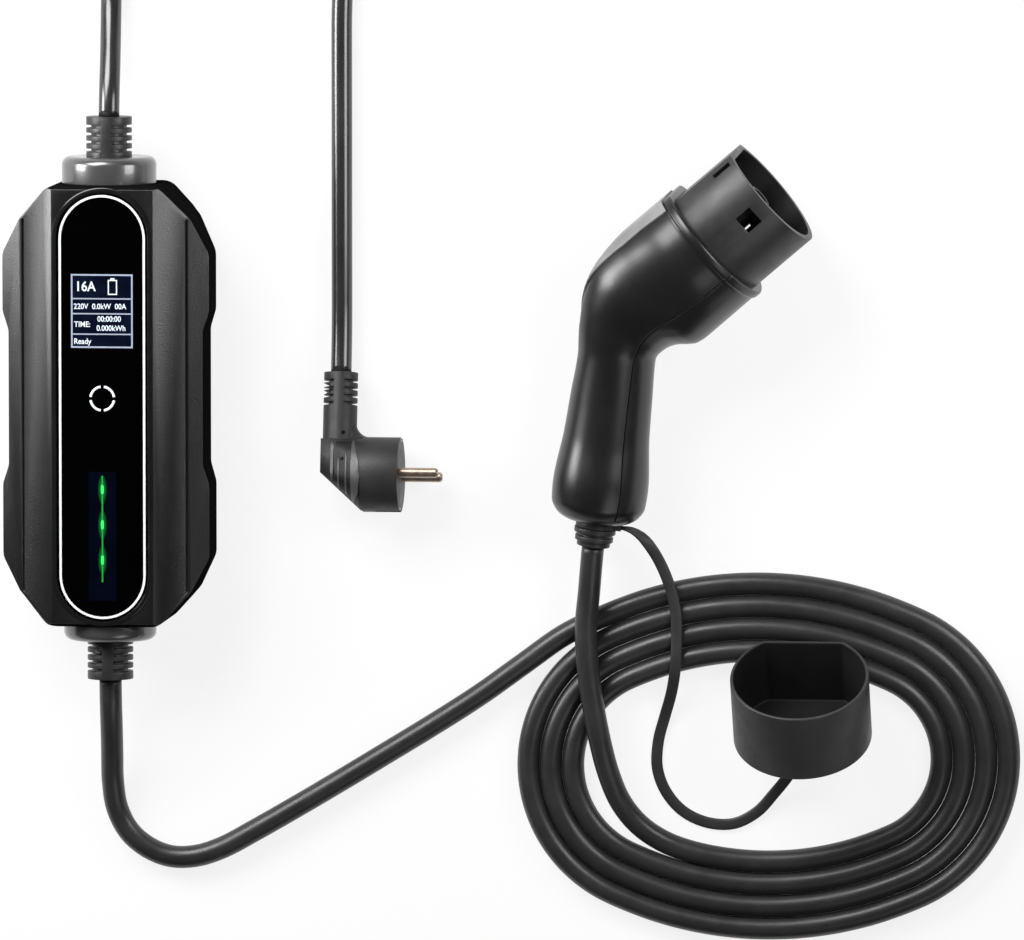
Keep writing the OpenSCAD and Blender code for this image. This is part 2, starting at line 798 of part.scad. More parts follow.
gun_sleeve_l = 12;
gun_sleeve_d = 20;
ring_h = 3;
ring_t = 1.6;
neck_r = end_r - gun_wall - fit_gap;
module gun_sleeve() {
  color(soft_black) gun_end_place() {
    translate([0, 0, -6]) cylinder(r = neck_r, h = 6 + ring_h + 1);
    translate([0, 0, -6]) cylinder(r = neck_r + 1.5, h = 2);
    translate([0, 0, ring_h + fit_gap]) {
      cylinder(r = gun_sleeve_d / 2, h = 2.6);
      cylinder(r = gun_sleeve_d / 2 - 2, h = gun_sleeve_l - ring_h - fit_gap);
      translate([0, 0, 4]) cylinder(r = gun_sleeve_d / 2 - 0.8, h = 2.4);
    }
  }
}

ring_r = neck_r + fit_gap + ring_t;
tab_l = 3;
module strap_ring() {
  color(soft_black) gun_end_place() translate([0, 0, fit_gap]) difference() {
    union() {
      cylinder(r = ring_r, h = ring_h - fit_gap);
      translate([-strap_w / 2, -ring_r - tab_l, 0]) cube([strap_w, ring_r + tab_l, ring_h - fit_gap]);
    }
    translate([0, 0, -1]) cylinder(r = neck_r + fit_gap, h = ring_h + 2);
  }
}

// Direction of the handle's end and points on it, worked out for the leads that leave it
function turned(v, a, k) = v * cos(a) + cross(k, v) * sin(a) + k * (k * v) * (1 - cos(a));
function gun_turn(v) =
  let (t = turned(v, -gun_tilt, [-heel_way[1], heel_way[0], 0]))
  [t[0] * cos(nose_angle) - t[1] * sin(nose_angle), t[0] * sin(nose_angle) + t[1] * cos(nose_angle), t[2]];
function gun_point(v) = [gun_x, gun_y, collar_r] + gun_turn(v);
gun_out = gun_turn([-cos(elbow_a), -sin(elbow_a), 0]);
gun_exit = gun_point(concat(spine(gun_l), [0])) + gun_sleeve_l * gun_out;

gun_route = [
  [265, -210.6, 5.8], [254, -202.8, 7.6], [245.5, -191.8, 10], [240, -178, 13], [236, -161.5, 16],
  [232.5, -143, 16.4], [230, -124, 16.4], [229.3, -106, 16.4], [230.8, -90, 17],
];
module gun_lead() {
  inner_turn = [for (a = [0:leave_a / 4:leave_a]) coil_point(arc_count, a)];
  color(black) tube(concat(inner_turn, gun_route, [gun_exit]),
    coil_heading(arc_count, 0), -gun_out, round_section(lead_d));
}

// Nose of the gun, with its axis along the local z and its flat towards the local y
module nose_place() {
  gun_place() rotate([0, 90, 0]) children();
}
module d_shape(r, f) {
  intersection() {
    circle(r = r, $fn = 96);
    translate([-2 * r, -2 * r]) square([4 * r, 2 * r + f]);
  }
}
nose_r = nose_d / 2;
nose_back = 12;
ledge_t = 4;
ledge_in = 4;
lock_window = 9;
window_y = -4;
window_in = 19;
lock_slot_w = 2.6;
lock_slot_l = 10;
slot_in = 13;
slot_a = 44;
module nose_shroud() {
  color(soft_black) nose_place() difference() {
    translate([0, 0, -nose_back]) linear_extrude(nose_back + nose_l) d_shape(nose_r, nose_flat);
    translate([0, 0, -nose_back + ledge_t]) linear_extrude(nose_back + nose_l)
      d_shape(nose_r - nose_wall, nose_flat - nose_wall);
    translate([0, 0, -nose_back - 1]) linear_extrude(ledge_t + 2)
      d_shape(nose_r - nose_wall - ledge_in, nose_flat - nose_wall - ledge_in);
    translate([0, window_y, nose_l - window_in]) cube([nose_d + 2, lock_window, lock_window], center = true);
    for (side = [-1, 1])
      rotate([0, 0, side * slot_a]) translate([0, nose_r, nose_l - slot_in])
        cube([lock_slot_w, 2 * nose_wall + 2, lock_slot_l], center = true);
  }
}

// Contact places across the nose: middle row, lower pair and the two signal contacts by the flat
tower_r = 6;
small_tower_r = 4.4;
mouth_gap = 8;
tower_top = nose_l - mouth_gap;
plate_h = 6;
carrier_z = -nose_back + ledge_t;
row_x = 15.4;
pair_x = 8;
pair_y = -13.6;
signal_y = 12;
live_places = [[-row_x, 0], [0, 0], [row_x, 0]];
blank_places = [[-pair_x, pair_y], [pair_x, pair_y]];
signal_places = [[-pair_x, signal_y], [pair_x, signal_y]];
power_or = 4;
power_ir = 3.1;
signal_or = 2.6;
signal_ir = 1.6;
contact_z = carrier_z + 3;
contact_floor = 3.5;
contact_in = 4;
contact_l = tower_top - contact_in - contact_z;
seat_z = carrier_z + 2;
module contact_carrier() {
  color([0.06, 0.06, 0.06]) nose_place() difference() {
    translate([0, 0, carrier_z]) linear_extrude(plate_h)
      d_shape(nose_r - nose_wall - fit_gap, nose_flat - nose_wall - fit_gap);
    for (p = concat(live_places, blank_places))
      translate([p[0], p[1], seat_z]) cylinder(r = tower_r + fit_gap, h = plate_h);
    for (p = signal_places)
      translate([p[0], p[1], seat_z]) cylinder(r = small_tower_r + fit_gap, h = plate_h);
  }
}

// Insulating sleeve round one contact; two of the large ones stay empty
module contact_sleeve(outer, inner) {
  difference() {
    translate([0, 0, seat_z]) cylinder(r = outer, h = tower_top - seat_z);
    translate([0, 0, contact_z]) cylinder(r = inner + fit_gap, h = nose_l);
  }
}

module contact_sleeves() {
  color([0.06, 0.06, 0.06]) nose_place() {
    for (p = concat(live_places, blank_places))
      translate([p[0], p[1], 0]) contact_sleeve(tower_r, power_or);
    for (p = signal_places)
      translate([p[0], p[1], 0]) contact_sleeve(small_tower_r, signal_or);
  }
}

module contact_tube(outer, bore) {
  difference() {
    translate([0, 0, contact_z]) cylinder(r = outer, h = contact_l);
    translate([0, 0, contact_z + contact_floor]) cylinder(r = bore, h = contact_l);
  }
}

module power_contacts() {
  color(copper) nose_place() for (p = live_places)
    translate([p[0], p[1], 0]) contact_tube(power_or, power_ir);
}

module signal_contacts() {
  color(copper) nose_place() for (p = signal_places)
    translate([p[0], p[1], 0]) contact_tube(signal_or, signal_ir);
}

// The cap leans on the innermost turn of the coil with its flat side down
cap_gap = 0.4;
cap_r = nose_r + cap_gap + cap_wall;
cap_flat = nose_flat + cap_gap + cap_wall;
cap_x = 334.5;
cap_rest = 0.3;
lean_arc = 12;
cap_flat_half = sqrt(pow(cap_r, 2) - pow(cap_flat, 2));
inner_turn_y = arc_centre(lean_arc)[1]
  + sqrt(pow(arc_r(lean_arc), 2) - pow(cap_x + cap_flat_half - arc_centre(lean_arc)[0], 2));
cap_y = inner_turn_y - (lead_d / 2 + cap_rest) / tan(cap_slope / 2);
lug_w = 8;
lug_l = 5;
module cap_place() {
  translate([cap_x, cap_y - cap_flat * sin(cap_slope), cap_flat * cos(cap_slope) + cap_rest / 2])
    rotate([cap_slope - 90, 0, 0]) children();
}
module cap_cup() {
  color(soft_black) cap_place() {
    difference() {
      linear_extrude(cap_depth) d_shape(cap_r, cap_flat);
      translate([0, 0, cap_wall]) linear_extrude(cap_depth) d_shape(cap_r - cap_wall, cap_flat - cap_wall);
    }
    translate([-lug_w / 2, -strap_t, -lug_l]) cube([lug_w, 2 * strap_t, lug_l + 1]);
  }
}

cap_axis = [0, cos(cap_slope), sin(cap_slope)];
cap_middle = [cap_x, cap_y - cap_flat * sin(cap_slope), cap_flat * cos(cap_slope) + cap_rest / 2];
ring_side = gun_turn([sin(elbow_a), -cos(elbow_a), 0]);
strap_start = gun_point(concat(spine(gun_l), [0])) + (ring_h + fit_gap) / 2 * gun_out
  + (ring_r + tab_l) * ring_side;
strap_route = [
  [251.5, -59.3, 21.2], [256.5, -62.6, 19.8], [261.5, -69, 17.8], [266, -77.5, 15.8], [269.8, -88, 14],
  [272.2, -99, 12.8], [272.6, -112, 12.4], [272, -126, 11.6], [269.6, -139, 6.5], [266, -151, 2.2],
  [262.8, -163, 1.1], [262.3, -176, 1.1], [266.5, -187.5, 1.1], [275, -197, 1.1], [287, -202.3, 1.1],
  [299.5, -202.5, 1.1], [310.5, -196.8, 1.3], [319, -187.5, 3.6], [326.5, -178, 9], [331.5, -169.5, 15],
];
module cap_strap() {
  color(soft_black) tube(concat([strap_start], strap_route, [cap_middle - lug_l * cap_axis]),
    ring_side, cap_axis, section_ring(strap_w, strap_t, 8), 90);
}

rear_shell();
front_shell();
shell_seal();
shell_screws();
front_glass();
display_module();
light_guide();
circuit_board();
board_screws();
relay();
mains_choke();
supply_transformer();
capacitors();
terminal_block();
top_flange();
top_sleeve();
low_flange();
low_sleeve();
mains_lead();
plug_body();
plug_pins();
plug_earth_strips();
charge_lead();
charge_coil();
gun_lead();
gun_sleeve();
gun_housing();
grip_panel();
top_plate();
nose_shroud();
contact_carrier();
contact_sleeves();
power_contacts();
signal_contacts();
cap_cup();
cap_strap();
strap_ring();
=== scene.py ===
import math

import bmesh
import bpy
from mathutils import Matrix, Vector
from mathutils.bvhtree import BVHTree


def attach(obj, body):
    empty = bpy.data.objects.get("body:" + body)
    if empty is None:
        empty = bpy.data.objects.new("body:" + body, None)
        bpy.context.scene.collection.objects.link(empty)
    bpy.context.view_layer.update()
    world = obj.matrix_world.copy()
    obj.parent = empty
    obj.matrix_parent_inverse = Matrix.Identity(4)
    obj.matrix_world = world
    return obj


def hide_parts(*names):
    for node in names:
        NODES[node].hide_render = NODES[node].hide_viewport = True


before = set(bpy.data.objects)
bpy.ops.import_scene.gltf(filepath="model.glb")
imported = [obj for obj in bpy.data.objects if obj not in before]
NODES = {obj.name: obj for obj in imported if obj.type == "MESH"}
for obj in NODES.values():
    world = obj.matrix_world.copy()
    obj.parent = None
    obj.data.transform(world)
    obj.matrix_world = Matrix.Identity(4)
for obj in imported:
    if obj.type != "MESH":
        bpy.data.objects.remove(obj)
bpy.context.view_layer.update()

bl_info = {
    "name": "Charging Set Dresser",
    "version": (1, 0, 0),
    "blender": (4, 5, 0),
    "location": "View3D > Sidebar > Charging Set",
    "description": "Dresses a portable charging set: control box, leads, gun, cap and mains plug",
    "category": "Object",
}

MM = 0.001
BODY = "root"


# Sizes and colours that a user would change

def length_setting(name, description, default):
    return bpy.props.FloatProperty(name=name, description=description, default=default, unit="LENGTH")


def colour_setting(name, description, default):
    return bpy.props.FloatVectorProperty(
        name=name, description=description, default=default, subtype="COLOR")


class CaseSettings(bpy.types.PropertyGroup):
    """Sizes and colours of the control box."""
    edge: length_setting("Edge radius", "Rounding of the moulded edges", 0.7 * MM)
    outline_w: length_setting("Outline width", "Width of the white line round the panel", 1.1 * MM)
    bezel_w: length_setting("Bezel width", "Width of the raised lip round the glass", 2.4 * MM)
    colour: colour_setting("Case colour", "Colour of the moulded shells", (0.006, 0.006, 0.0061))
    glow: colour_setting("Light colour", "Colour of the charging light", (0.05, 0.9, 0.12))


class LeadSettings(bpy.types.PropertyGroup):
    """Sizes and colours of the leads."""
    charge_d: length_setting("Charging lead", "Diameter of the charging lead", 10.8 * MM)
    mains_d: length_setting("Mains lead", "Diameter of the mains lead", 10.0 * MM)
    strap_w: length_setting("Strap width", "Width of the rubber strap", 5.5 * MM)
    strap_t: length_setting("Strap thickness", "Thickness of the rubber strap", 1.8 * MM)
    colour: colour_setting("Jacket colour", "Colour of the cable jacket", (0.021, 0.021, 0.0212))


class GunSettings(bpy.types.PropertyGroup):
    """Sizes and colours of the charging gun."""
    wall: length_setting("Wall", "Wall of the moulded housing", 3 * MM)
    colour: colour_setting("Housing colour", "Colour of the glossy housing", (0.007, 0.007, 0.0071))


class StageSettings(bpy.types.PropertyGroup):
    """Camera and light."""
    lens: bpy.props.FloatProperty(
        name="Lens", description="Focal length of the camera", default=440.0, unit="CAMERA")
    distance: length_setting("Distance", "Distance from the camera to the middle of the set", 6.0)
    tilt: bpy.props.FloatProperty(
        name="Tilt", description="Angle of the camera away from straight above",
        default=math.radians(8), subtype="ANGLE")


def settings(name):
    return getattr(bpy.context.scene, name)


# Mesh helpers

def link(name, mesh):
    obj = bpy.data.objects.new(name, mesh)
    bpy.context.scene.collection.objects.link(obj)
    return obj


def join_rings(bm, rings):
    """Quads between each ring of vertices and the next, and the skin turned outward."""
    for a, b in zip(rings, rings[1:]):
        for i in range(len(a)):
            j = (i + 1) % len(a)
            bm.faces.new((a[i], a[j], b[j], b[i]))
    bmesh.ops.recalc_face_normals(bm, faces=bm.faces)


def from_bmesh(name, bm, smooth=True):
    mesh = bpy.data.meshes.new(name)
    bm.to_mesh(mesh)
    bm.free()
    for face in mesh.polygons:
        face.use_smooth = smooth
    return link(name, mesh)


def bake_modifiers(obj):
    """Turns the evaluated object into a plain mesh and drops its modifiers."""
    bpy.context.view_layer.update()
    evaluated = obj.evaluated_get(bpy.context.evaluated_depsgraph_get())
    mesh = bpy.data.meshes.new_from_object(evaluated)
    obj.modifiers.clear()
    obj.data = mesh
    return obj


def paint(obj, material):
    obj.data.materials.clear()
    obj.data.materials.append(material)


def finish_piece(obj, material, slot, *nodes):
    """Paints a piece, which rides with the set and stands for its CAD nodes; the slot is not used."""
    paint(obj, material)
    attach(obj, BODY)
    if nodes:
        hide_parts(*nodes)


def node_bmesh(node):
    """A merged copy of a CAD node's mesh, with flat faces joined into whole polygons."""
    bm = bmesh.new()
    bm.from_mesh(NODES[node].data)
    bmesh.ops.remove_doubles(bm, verts=bm.verts, dist=0.004 * MM)
    bmesh.ops.dissolve_limit(
        bm, angle_limit=math.radians(0.6), verts=bm.verts, edges=bm.edges, use_dissolve_boundaries=False)
    return bm


def dressed_node(node, name, slot, material, edge, segments=3, reshape=None, second=None, chosen=None):
    """Replaces a CAD node with a copy that has rounded edges; chosen faces get a second material."""
    bm = node_bmesh(node)
    if reshape:
        reshape(bm)
    obj = from_bmesh(name, bm)
    bevel = obj.modifiers.new("edges", "BEVEL")
    bevel.width = edge
    bevel.segments = segments
    bevel.limit_method = "ANGLE"
    bevel.angle_limit = math.radians(32)
    bake_modifiers(obj)
    obj.data.set_sharp_from_angle(angle=math.radians(40))
    finish_piece(obj, material, slot, node)
    if second:
        obj.data.materials.append(second)
        for face in obj.data.polygons:
            face.material_index = int(chosen(face.center, face.normal))


# Materials

def fill(tree, node, inputs):
    """Sets a node's inputs: a value, or a link where another node's output is given."""
    for key, value in inputs.items():
        if isinstance(value, bpy.types.NodeSocket):
            tree.links.new(value, node.inputs[key])
        else:
            node.inputs[key].default_value = value


def add_node(tree, kind, inputs=None, **options):
    node = tree.nodes.new(kind)
    for key, value in options.items():
        setattr(node, key, value)
    fill(tree, node, inputs or {})
    return node


def math_node(tree, operation, *values):
    """Result of a sum; its values are numbers or outputs of other nodes."""
    return add_node(tree, "ShaderNodeMath", dict(enumerate(values)), operation=operation).outputs[0]


def empty_tree(owner):
    """The emptied node tree of a material or a world."""
    owner.use_nodes = True
    owner.node_tree.nodes.clear()
    return owner.node_tree


def new_material(name):
    material = bpy.data.materials.new(name)
    tree = empty_tree(material)
    shader = add_node(tree, "ShaderNodeBsdfPrincipled")
    add_node(tree, "ShaderNodeOutputMaterial", {"Surface": shader.outputs[0]})
    return material, tree, shader, add_node(tree, "ShaderNodeTexCoord").outputs["Object"]


def noise(tree, coords, scale, detail=4.0, roughness=0.6):
    return add_node(tree, "ShaderNodeTexNoise", {
        "Vector": coords, "Scale": scale, "Detail": detail, "Roughness": roughness}).outputs["Fac"]


def remap(tree, value, low, high, start=0.3, end=0.7):
    return add_node(tree, "ShaderNodeMapRange", {
        "Value": value, "From Min": start, "From Max": end, "To Min": low, "To Max": high}).outputs["Result"]


def blend_colours(tree, value, first, second):
    """Two colours mixed by a noise."""
    return add_node(tree, "ShaderNodeMix", {
        "Factor": remap(tree, value, 0.0, 1.0), "A": (*first, 1.0), "B": (*second, 1.0)},
        data_type="RGBA").outputs["Result"]


def bump(tree, height, strength, distance):
    return add_node(tree, "ShaderNodeBump", {
        "Height": height, "Strength": strength, "Distance": distance}).outputs["Normal"]


def moulded(
        name, colour, rough, grain_scale, grain_depth,
        coat=0.0, mottling=0.25, specular=0.5, rough_spread=0.06):
    """Moulded plastic or rubber: fine grain, faint cloudy colour and uneven gloss."""
    material, tree, shader, coords = new_material(name)
    lighter = [min(1.0, c * (1 + mottling)) for c in colour]
    darker = [c * (1 - mottling) for c in colour]
    uneven = noise(tree, coords, 120.0, 5.0)
    fill(tree, shader, {
        "Base Color": blend_colours(tree, noise(tree, coords, 38.0, 3.0), darker, lighter),
        "Roughness": remap(tree, uneven, rough - rough_spread, rough + rough_spread),
        "Specular IOR Level": specular, "Coat Weight": coat, "Coat Roughness": 0.08,
        "Normal": bump(tree, noise(tree, coords, grain_scale, 2.0, 0.5), 1.0, grain_depth)})
    return material


def metal(name, colour, rough, scale=900.0):
    """Bright plated metal with fine marks."""
    material, tree, shader, coords = new_material(name)
    marks = noise(tree, coords, scale)
    fill(tree, shader, {
        "Metallic": 1.0, "Base Color": blend_colours(tree, marks, [c * 0.8 for c in colour], colour),
        "Roughness": remap(tree, marks, rough - 0.06, rough + 0.08),
        "Normal": bump(tree, marks, 0.3, 0.002 * MM)})
    return material


def lit(name, colour, strength):
    """A surface that glows by itself, such as print behind lit glass."""
    material, tree, shader, coords = new_material(name)
    grain = noise(tree, coords, 2500.0, 1.0)
    fill(tree, shader, {
        "Base Color": (*[c * 0.5 for c in colour], 1.0), "Roughness": 0.4,
        "Emission Color": (*colour, 1.0), "Emission Strength": remap(tree, grain, strength * 0.85, strength)})
    return material


# Curves and tubes

def metres(points):
    return [Vector(p) * MM for p in points]


def catmull(p0, p1, p2, p3, t):
    """One point of a centripetal curve between p1 and p2."""
    t0 = 0.0
    t1 = t0 + max((p1 - p0).length, 1e-9) ** 0.5
    t2 = t1 + max((p2 - p1).length, 1e-9) ** 0.5
    t3 = t2 + max((p3 - p2).length, 1e-9) ** 0.5
    u = t1 + (t2 - t1) * t
    a1 = p0.lerp(p1, (u - t0) / (t1 - t0))
    a2 = p1.lerp(p2, (u - t1) / (t2 - t1))
    a3 = p2.lerp(p3, (u - t2) / (t3 - t2))
    b1 = a1.lerp(a2, (u - t0) / (t2 - t0))
    b2 = a2.lerp(a3, (u - t1) / (t3 - t1))
    return b1.lerp(b2, (u - t1) / (t2 - t1))


def smooth_route(points, first, last, step):
    """A smooth line through the points, which leaves and arrives in the given directions."""
    points = [Vector(p) for p in points]
    before = points[0] - Vector(first).normalized() * (points[1] - points[0]).length
    after = points[-1] + Vector(last).normalized() * (points[-1] - points[-2]).length
    padded = [before, *points, after]
    line = []
    for i in range(len(points) - 1):
        count = max(1, round((points[i + 1] - points[i]).length / step))
        line += [catmull(*padded[i:i + 4], k / count) for k in range(count)]
    return line + [points[-1]]


def above_floor(line, thickness):
    """Lifts the points of a line so that a lead of that thickness lies on the floor and not in it."""
    return [Vector((p.x, p.y, max(p.z, thickness / 2))) for p in line]


def line_directions(line, first, last):
    directions = [Vector(first).normalized()]
    for a, b, c in zip(line, line[1:], line[2:]):
        directions.append(((b - a).normalized() + (c - b).normalized()).normalized())
    return directions + [Vector(last).normalized()]


def bulged(value, square):
    """A sine or cosine, pushed outward where the section is a flat strap with round corners."""
    return math.copysign(abs(value) ** 0.75, value) if square else value


def swept_tube(name, line, first, last, width, thickness, sides, roll=0.0, roll_run=0.02):
    """A closed tube along a line, whose width stays level; it may start rolled about its line."""
    square = width > 2 * thickness
    bm = bmesh.new()
    travelled = 0.0
    rings = []
    for i, (place, direction) in enumerate(zip(line, line_directions(line, first, last))):
        if i:
            travelled += (place - line[i - 1]).length
        side = direction.cross(Vector((0, 0, 1))).normalized()
        up = side.cross(direction)
        turn = roll * max(0.0, 1.0 - travelled / roll_run)
        ring = []
        for k in range(sides):
            a = math.tau * (k + 0.5) / sides
            x = width / 2 * bulged(math.cos(a), square)
            y = thickness / 2 * bulged(math.sin(a), square)
            across = x * math.cos(turn) - y * math.sin(turn)
            along = x * math.sin(turn) + y * math.cos(turn)
            ring.append(bm.verts.new(place + side * across + up * along))
        rings.append(ring)
    bm.faces.new(list(reversed(rings[0])))
    bm.faces.new(rings[-1])
    join_rings(bm, rings)
    return from_bmesh(name, bm)


# The charging lead: out of the box, round the coil and over it to the gun

COIL_MIDDLE = (312.5, -172.0)
COIL_END_R = 76.0
COIL_E = 45.4
COIL_BETA = 65.0
TURN_PITCH = 10.8
COIL_Z = 5.25
COIL_SIDE_R = COIL_END_R + COIL_E / math.cos(math.radians(COIL_BETA))
ARC_COUNT = 14
LEAVE_A = 40.0
LOW_EXIT = (0, -133, 26)
CHARGE_ROUTE = [
    (0, -145, 25), (-0.3, -158, 20.5), (-0.9, -171, 14.5), (-1.4, -184, 9.4), (0.3, -198, 6.4),
    (5.8, -209.2, 5.25), (15.2, -217.2, 5.25), (26.6, -221.4, 5.25), (38.8, -221, 5.25),
    (51.5, -216.8, 5.25), (67.7, -208, 5.25), (89, -195.6, 5.25), (111, -182.4, 5.25),
    (133, -168.9, 5.25), (155, -155.3, 5.25), (177, -141, 5.25), (198, -125.8, 5.25), (217.4, -111.9, 5.25),
]
GUN_ROUTE = [
    (265, -210.6, 5.8), (254, -202.8, 7.6), (245.5, -191.8, 10), (240, -178, 13), (236, -161.5, 16),
    (232.5, -143, 16.4), (230, -124, 16.4), (229.3, -106, 16.4), (230.8, -90, 17),
]


def arc_radius(k):
    """Radius of arc k: long sides and round ends alternate, each a quarter of the pitch further in."""
    return (COIL_SIDE_R if k % 2 == 0 else COIL_END_R) - k * TURN_PITCH / 4


def arc_turn(k):
    return 180 - 2 * COIL_BETA if k % 2 == 0 else 2 * COIL_BETA


def coil_arcs(last):
    """Centre, radius, first angle and swept angle of each arc, clockwise from where the lead comes in."""
    angle = 180 - COIL_BETA
    centre = Vector((COIL_MIDDLE[0], COIL_MIDDLE[1] - COIL_E * math.tan(math.radians(COIL_BETA)), COIL_Z))
    arcs = []
    for k in range(last + 1):
        arcs.append((centre.copy(), arc_radius(k), angle, arc_turn(k)))
        angle -= arc_turn(k)
        outward = Vector((math.cos(math.radians(angle)), math.sin(math.radians(angle)), 0))
        centre += (arc_radius(k) - arc_radius(k + 1)) * outward
    return arcs


def arc_point(arc, swept):
    centre, radius, start, _ = arc
    a = math.radians(start - swept)
    return centre + radius * Vector((math.cos(a), math.sin(a), 0))


def coil_points():
    """The turns of the coil, up to where the lead leaves it for the gun."""
    points = []
    arcs = coil_arcs(ARC_COUNT)
    for arc in arcs:
        sweep = LEAVE_A if arc is arcs[-1] else arc[3]
        count = max(2, round(sweep / 8))
        points += [arc_point(arc, sweep * i / count) for i in range(count)]
    return points + [arc_point(arcs[-1], LEAVE_A)]


# The mains lead, in an arch to the plug

TOP_EXIT = (0, 138, 26)
MAINS_ROUTE = [
    (0, 150, 24.5), (-0.3, 163, 19.5), (-0.9, 176, 13.2), (-1.4, 189, 8), (-1.6, 202, 5.3), (-1.6, 213, 5),
    (2.6, 234.4, 5), (14.8, 252.4, 5), (32.8, 264.6, 5), (54.2, 268.8, 5), (75.6, 264.6, 5),
    (93.6, 252.4, 5), (105.8, 234.4, 5), (110, 213, 5), (110, 180, 5), (110, 147, 5), (110, 114, 5),
    (110, 81, 5), (110, 46, 5), (110, 31, 5.9),
]
PLUG_PIECES = (
    "plug_moulding", "plug_ridges", "plug_panel", "plug_hole_shade", "plug_fillet",
    NODES["plug_pins"].name, NODES["plug_earth_strips"].name,
)
PLUG_R, PLUG_ARM_R, ARM_LIFT = 18.0, 8.2, 0.3
PLUG_PLACE = Vector((140, -34, PLUG_R))
PLUG_ARM = (30.0, 49.0)
PLUG_TILT = math.asin((PLUG_R - PLUG_ARM_R - ARM_LIFT) / PLUG_ARM[1])
PLUG_OUT = Vector((0, math.cos(PLUG_TILT), -math.sin(PLUG_TILT)))
PLUG_EXIT = PLUG_PLACE - Vector((PLUG_ARM[0], 0, 0)) + PLUG_ARM[1] * PLUG_OUT


# The charging gun: a bent spine with oval sections that have a flat back

COLLAR_R = 35.0
COLLAR_FLAT = 28.8
WAIST_R = 18.8
HEEL_R = 23.0
NECK_L = 40.0
ELBOW_R = 50.0
ELBOW_A = math.radians(42)
HANDLE_L = 82.0
ELBOW_RUN = ELBOW_R * ELBOW_A
GUN_L = NECK_L + ELBOW_RUN + HANDLE_L
GUN_PLACE = Vector((292.7, 83.2, 35))
NOSE_ANGLE = math.radians(40.5)
END_R = 11.0


def spine(s):
    """The gun's middle line at s: straight neck, elbow and straight handle."""
    if s <= NECK_L:
        return Vector((-s, 0, 0))
    if s <= NECK_L + ELBOW_RUN:
        a = (s - NECK_L) / ELBOW_R
        return Vector((-NECK_L - ELBOW_R * math.sin(a), -ELBOW_R * (1 - math.cos(a)), 0))
    run = s - NECK_L - ELBOW_RUN
    return spine(NECK_L + ELBOW_RUN) - run * Vector((math.cos(ELBOW_A), math.sin(ELBOW_A), 0))


def spine_angle(s):
    return min(max((s - NECK_L) / ELBOW_RUN, 0.0), 1.0) * ELBOW_A


HEEL_REST = spine(GUN_L - 16)
HEEL_WAY = -HEEL_REST.normalized()
GUN_TILT = math.asin((COLLAR_R - HEEL_R) / HEEL_REST.length)
GUN_TURN = Matrix.Rotation(NOSE_ANGLE, 3, "Z") @ Matrix.Rotation(
    -GUN_TILT, 3, Vector((-HEEL_WAY.y, HEEL_WAY.x, 0)))


def gun_point(v):
    """A point of the gun's own frame, in millimetres, placed in the set's frame in metres."""
    return (GUN_PLACE + GUN_TURN @ Vector(v)) * MM


def gun_local(point):
    """The same point in the gun's own frame, in millimetres."""
    return GUN_TURN.transposed() @ (point / MM - GUN_PLACE)


GUN_OUT = GUN_TURN @ Vector((-math.cos(ELBOW_A), -math.sin(ELBOW_A), 0))
GUN_SIDE = GUN_TURN @ Vector((math.sin(ELBOW_A), -math.cos(ELBOW_A), 0))
SLEEVE_L = 12.0
GUN_EXIT = GUN_PLACE + GUN_TURN @ spine(GUN_L) + SLEEVE_L * GUN_OUT

# The cap and its strap

CAP_SLOPE = math.radians(33)
CAP_FLAT = 27.2
CAP_RISE = 0.15
CAP_MIDDLE = Vector((
    334.5, -142.7537 - CAP_FLAT * math.sin(CAP_SLOPE), CAP_FLAT * math.cos(CAP_SLOPE) + CAP_RISE))
CAP_AXIS = Vector((0, math.cos(CAP_SLOPE), math.sin(CAP_SLOPE)))
LUG_L = 5.0
RING_L, RING_R = 1.55, 12.6
STRAP_START = GUN_PLACE + GUN_TURN @ spine(GUN_L) + RING_L * GUN_OUT + RING_R * GUN_SIDE
STRAP_ROUTE = [
    (251.5, -59.3, 21.2), (256.5, -62.6, 19.8), (261.5, -69, 17.8), (266, -77.5, 15.8), (269.8, -88, 14),
    (272.2, -99, 12.8), (272.6, -112, 12.4), (272, -126, 11.6), (269.6, -139, 6.5), (266, -151, 2.2),
    (262.8, -163, 1.1), (262.3, -176, 1.1), (266.5, -187.5, 1.1), (275, -197, 1.1), (287, -202.3, 1.1),
    (299.5, -202.5, 1.1), (310.5, -196.8, 1.3), (319, -187.5, 3.6), (326.5, -178, 9), (331.5, -169.5, 15),
]


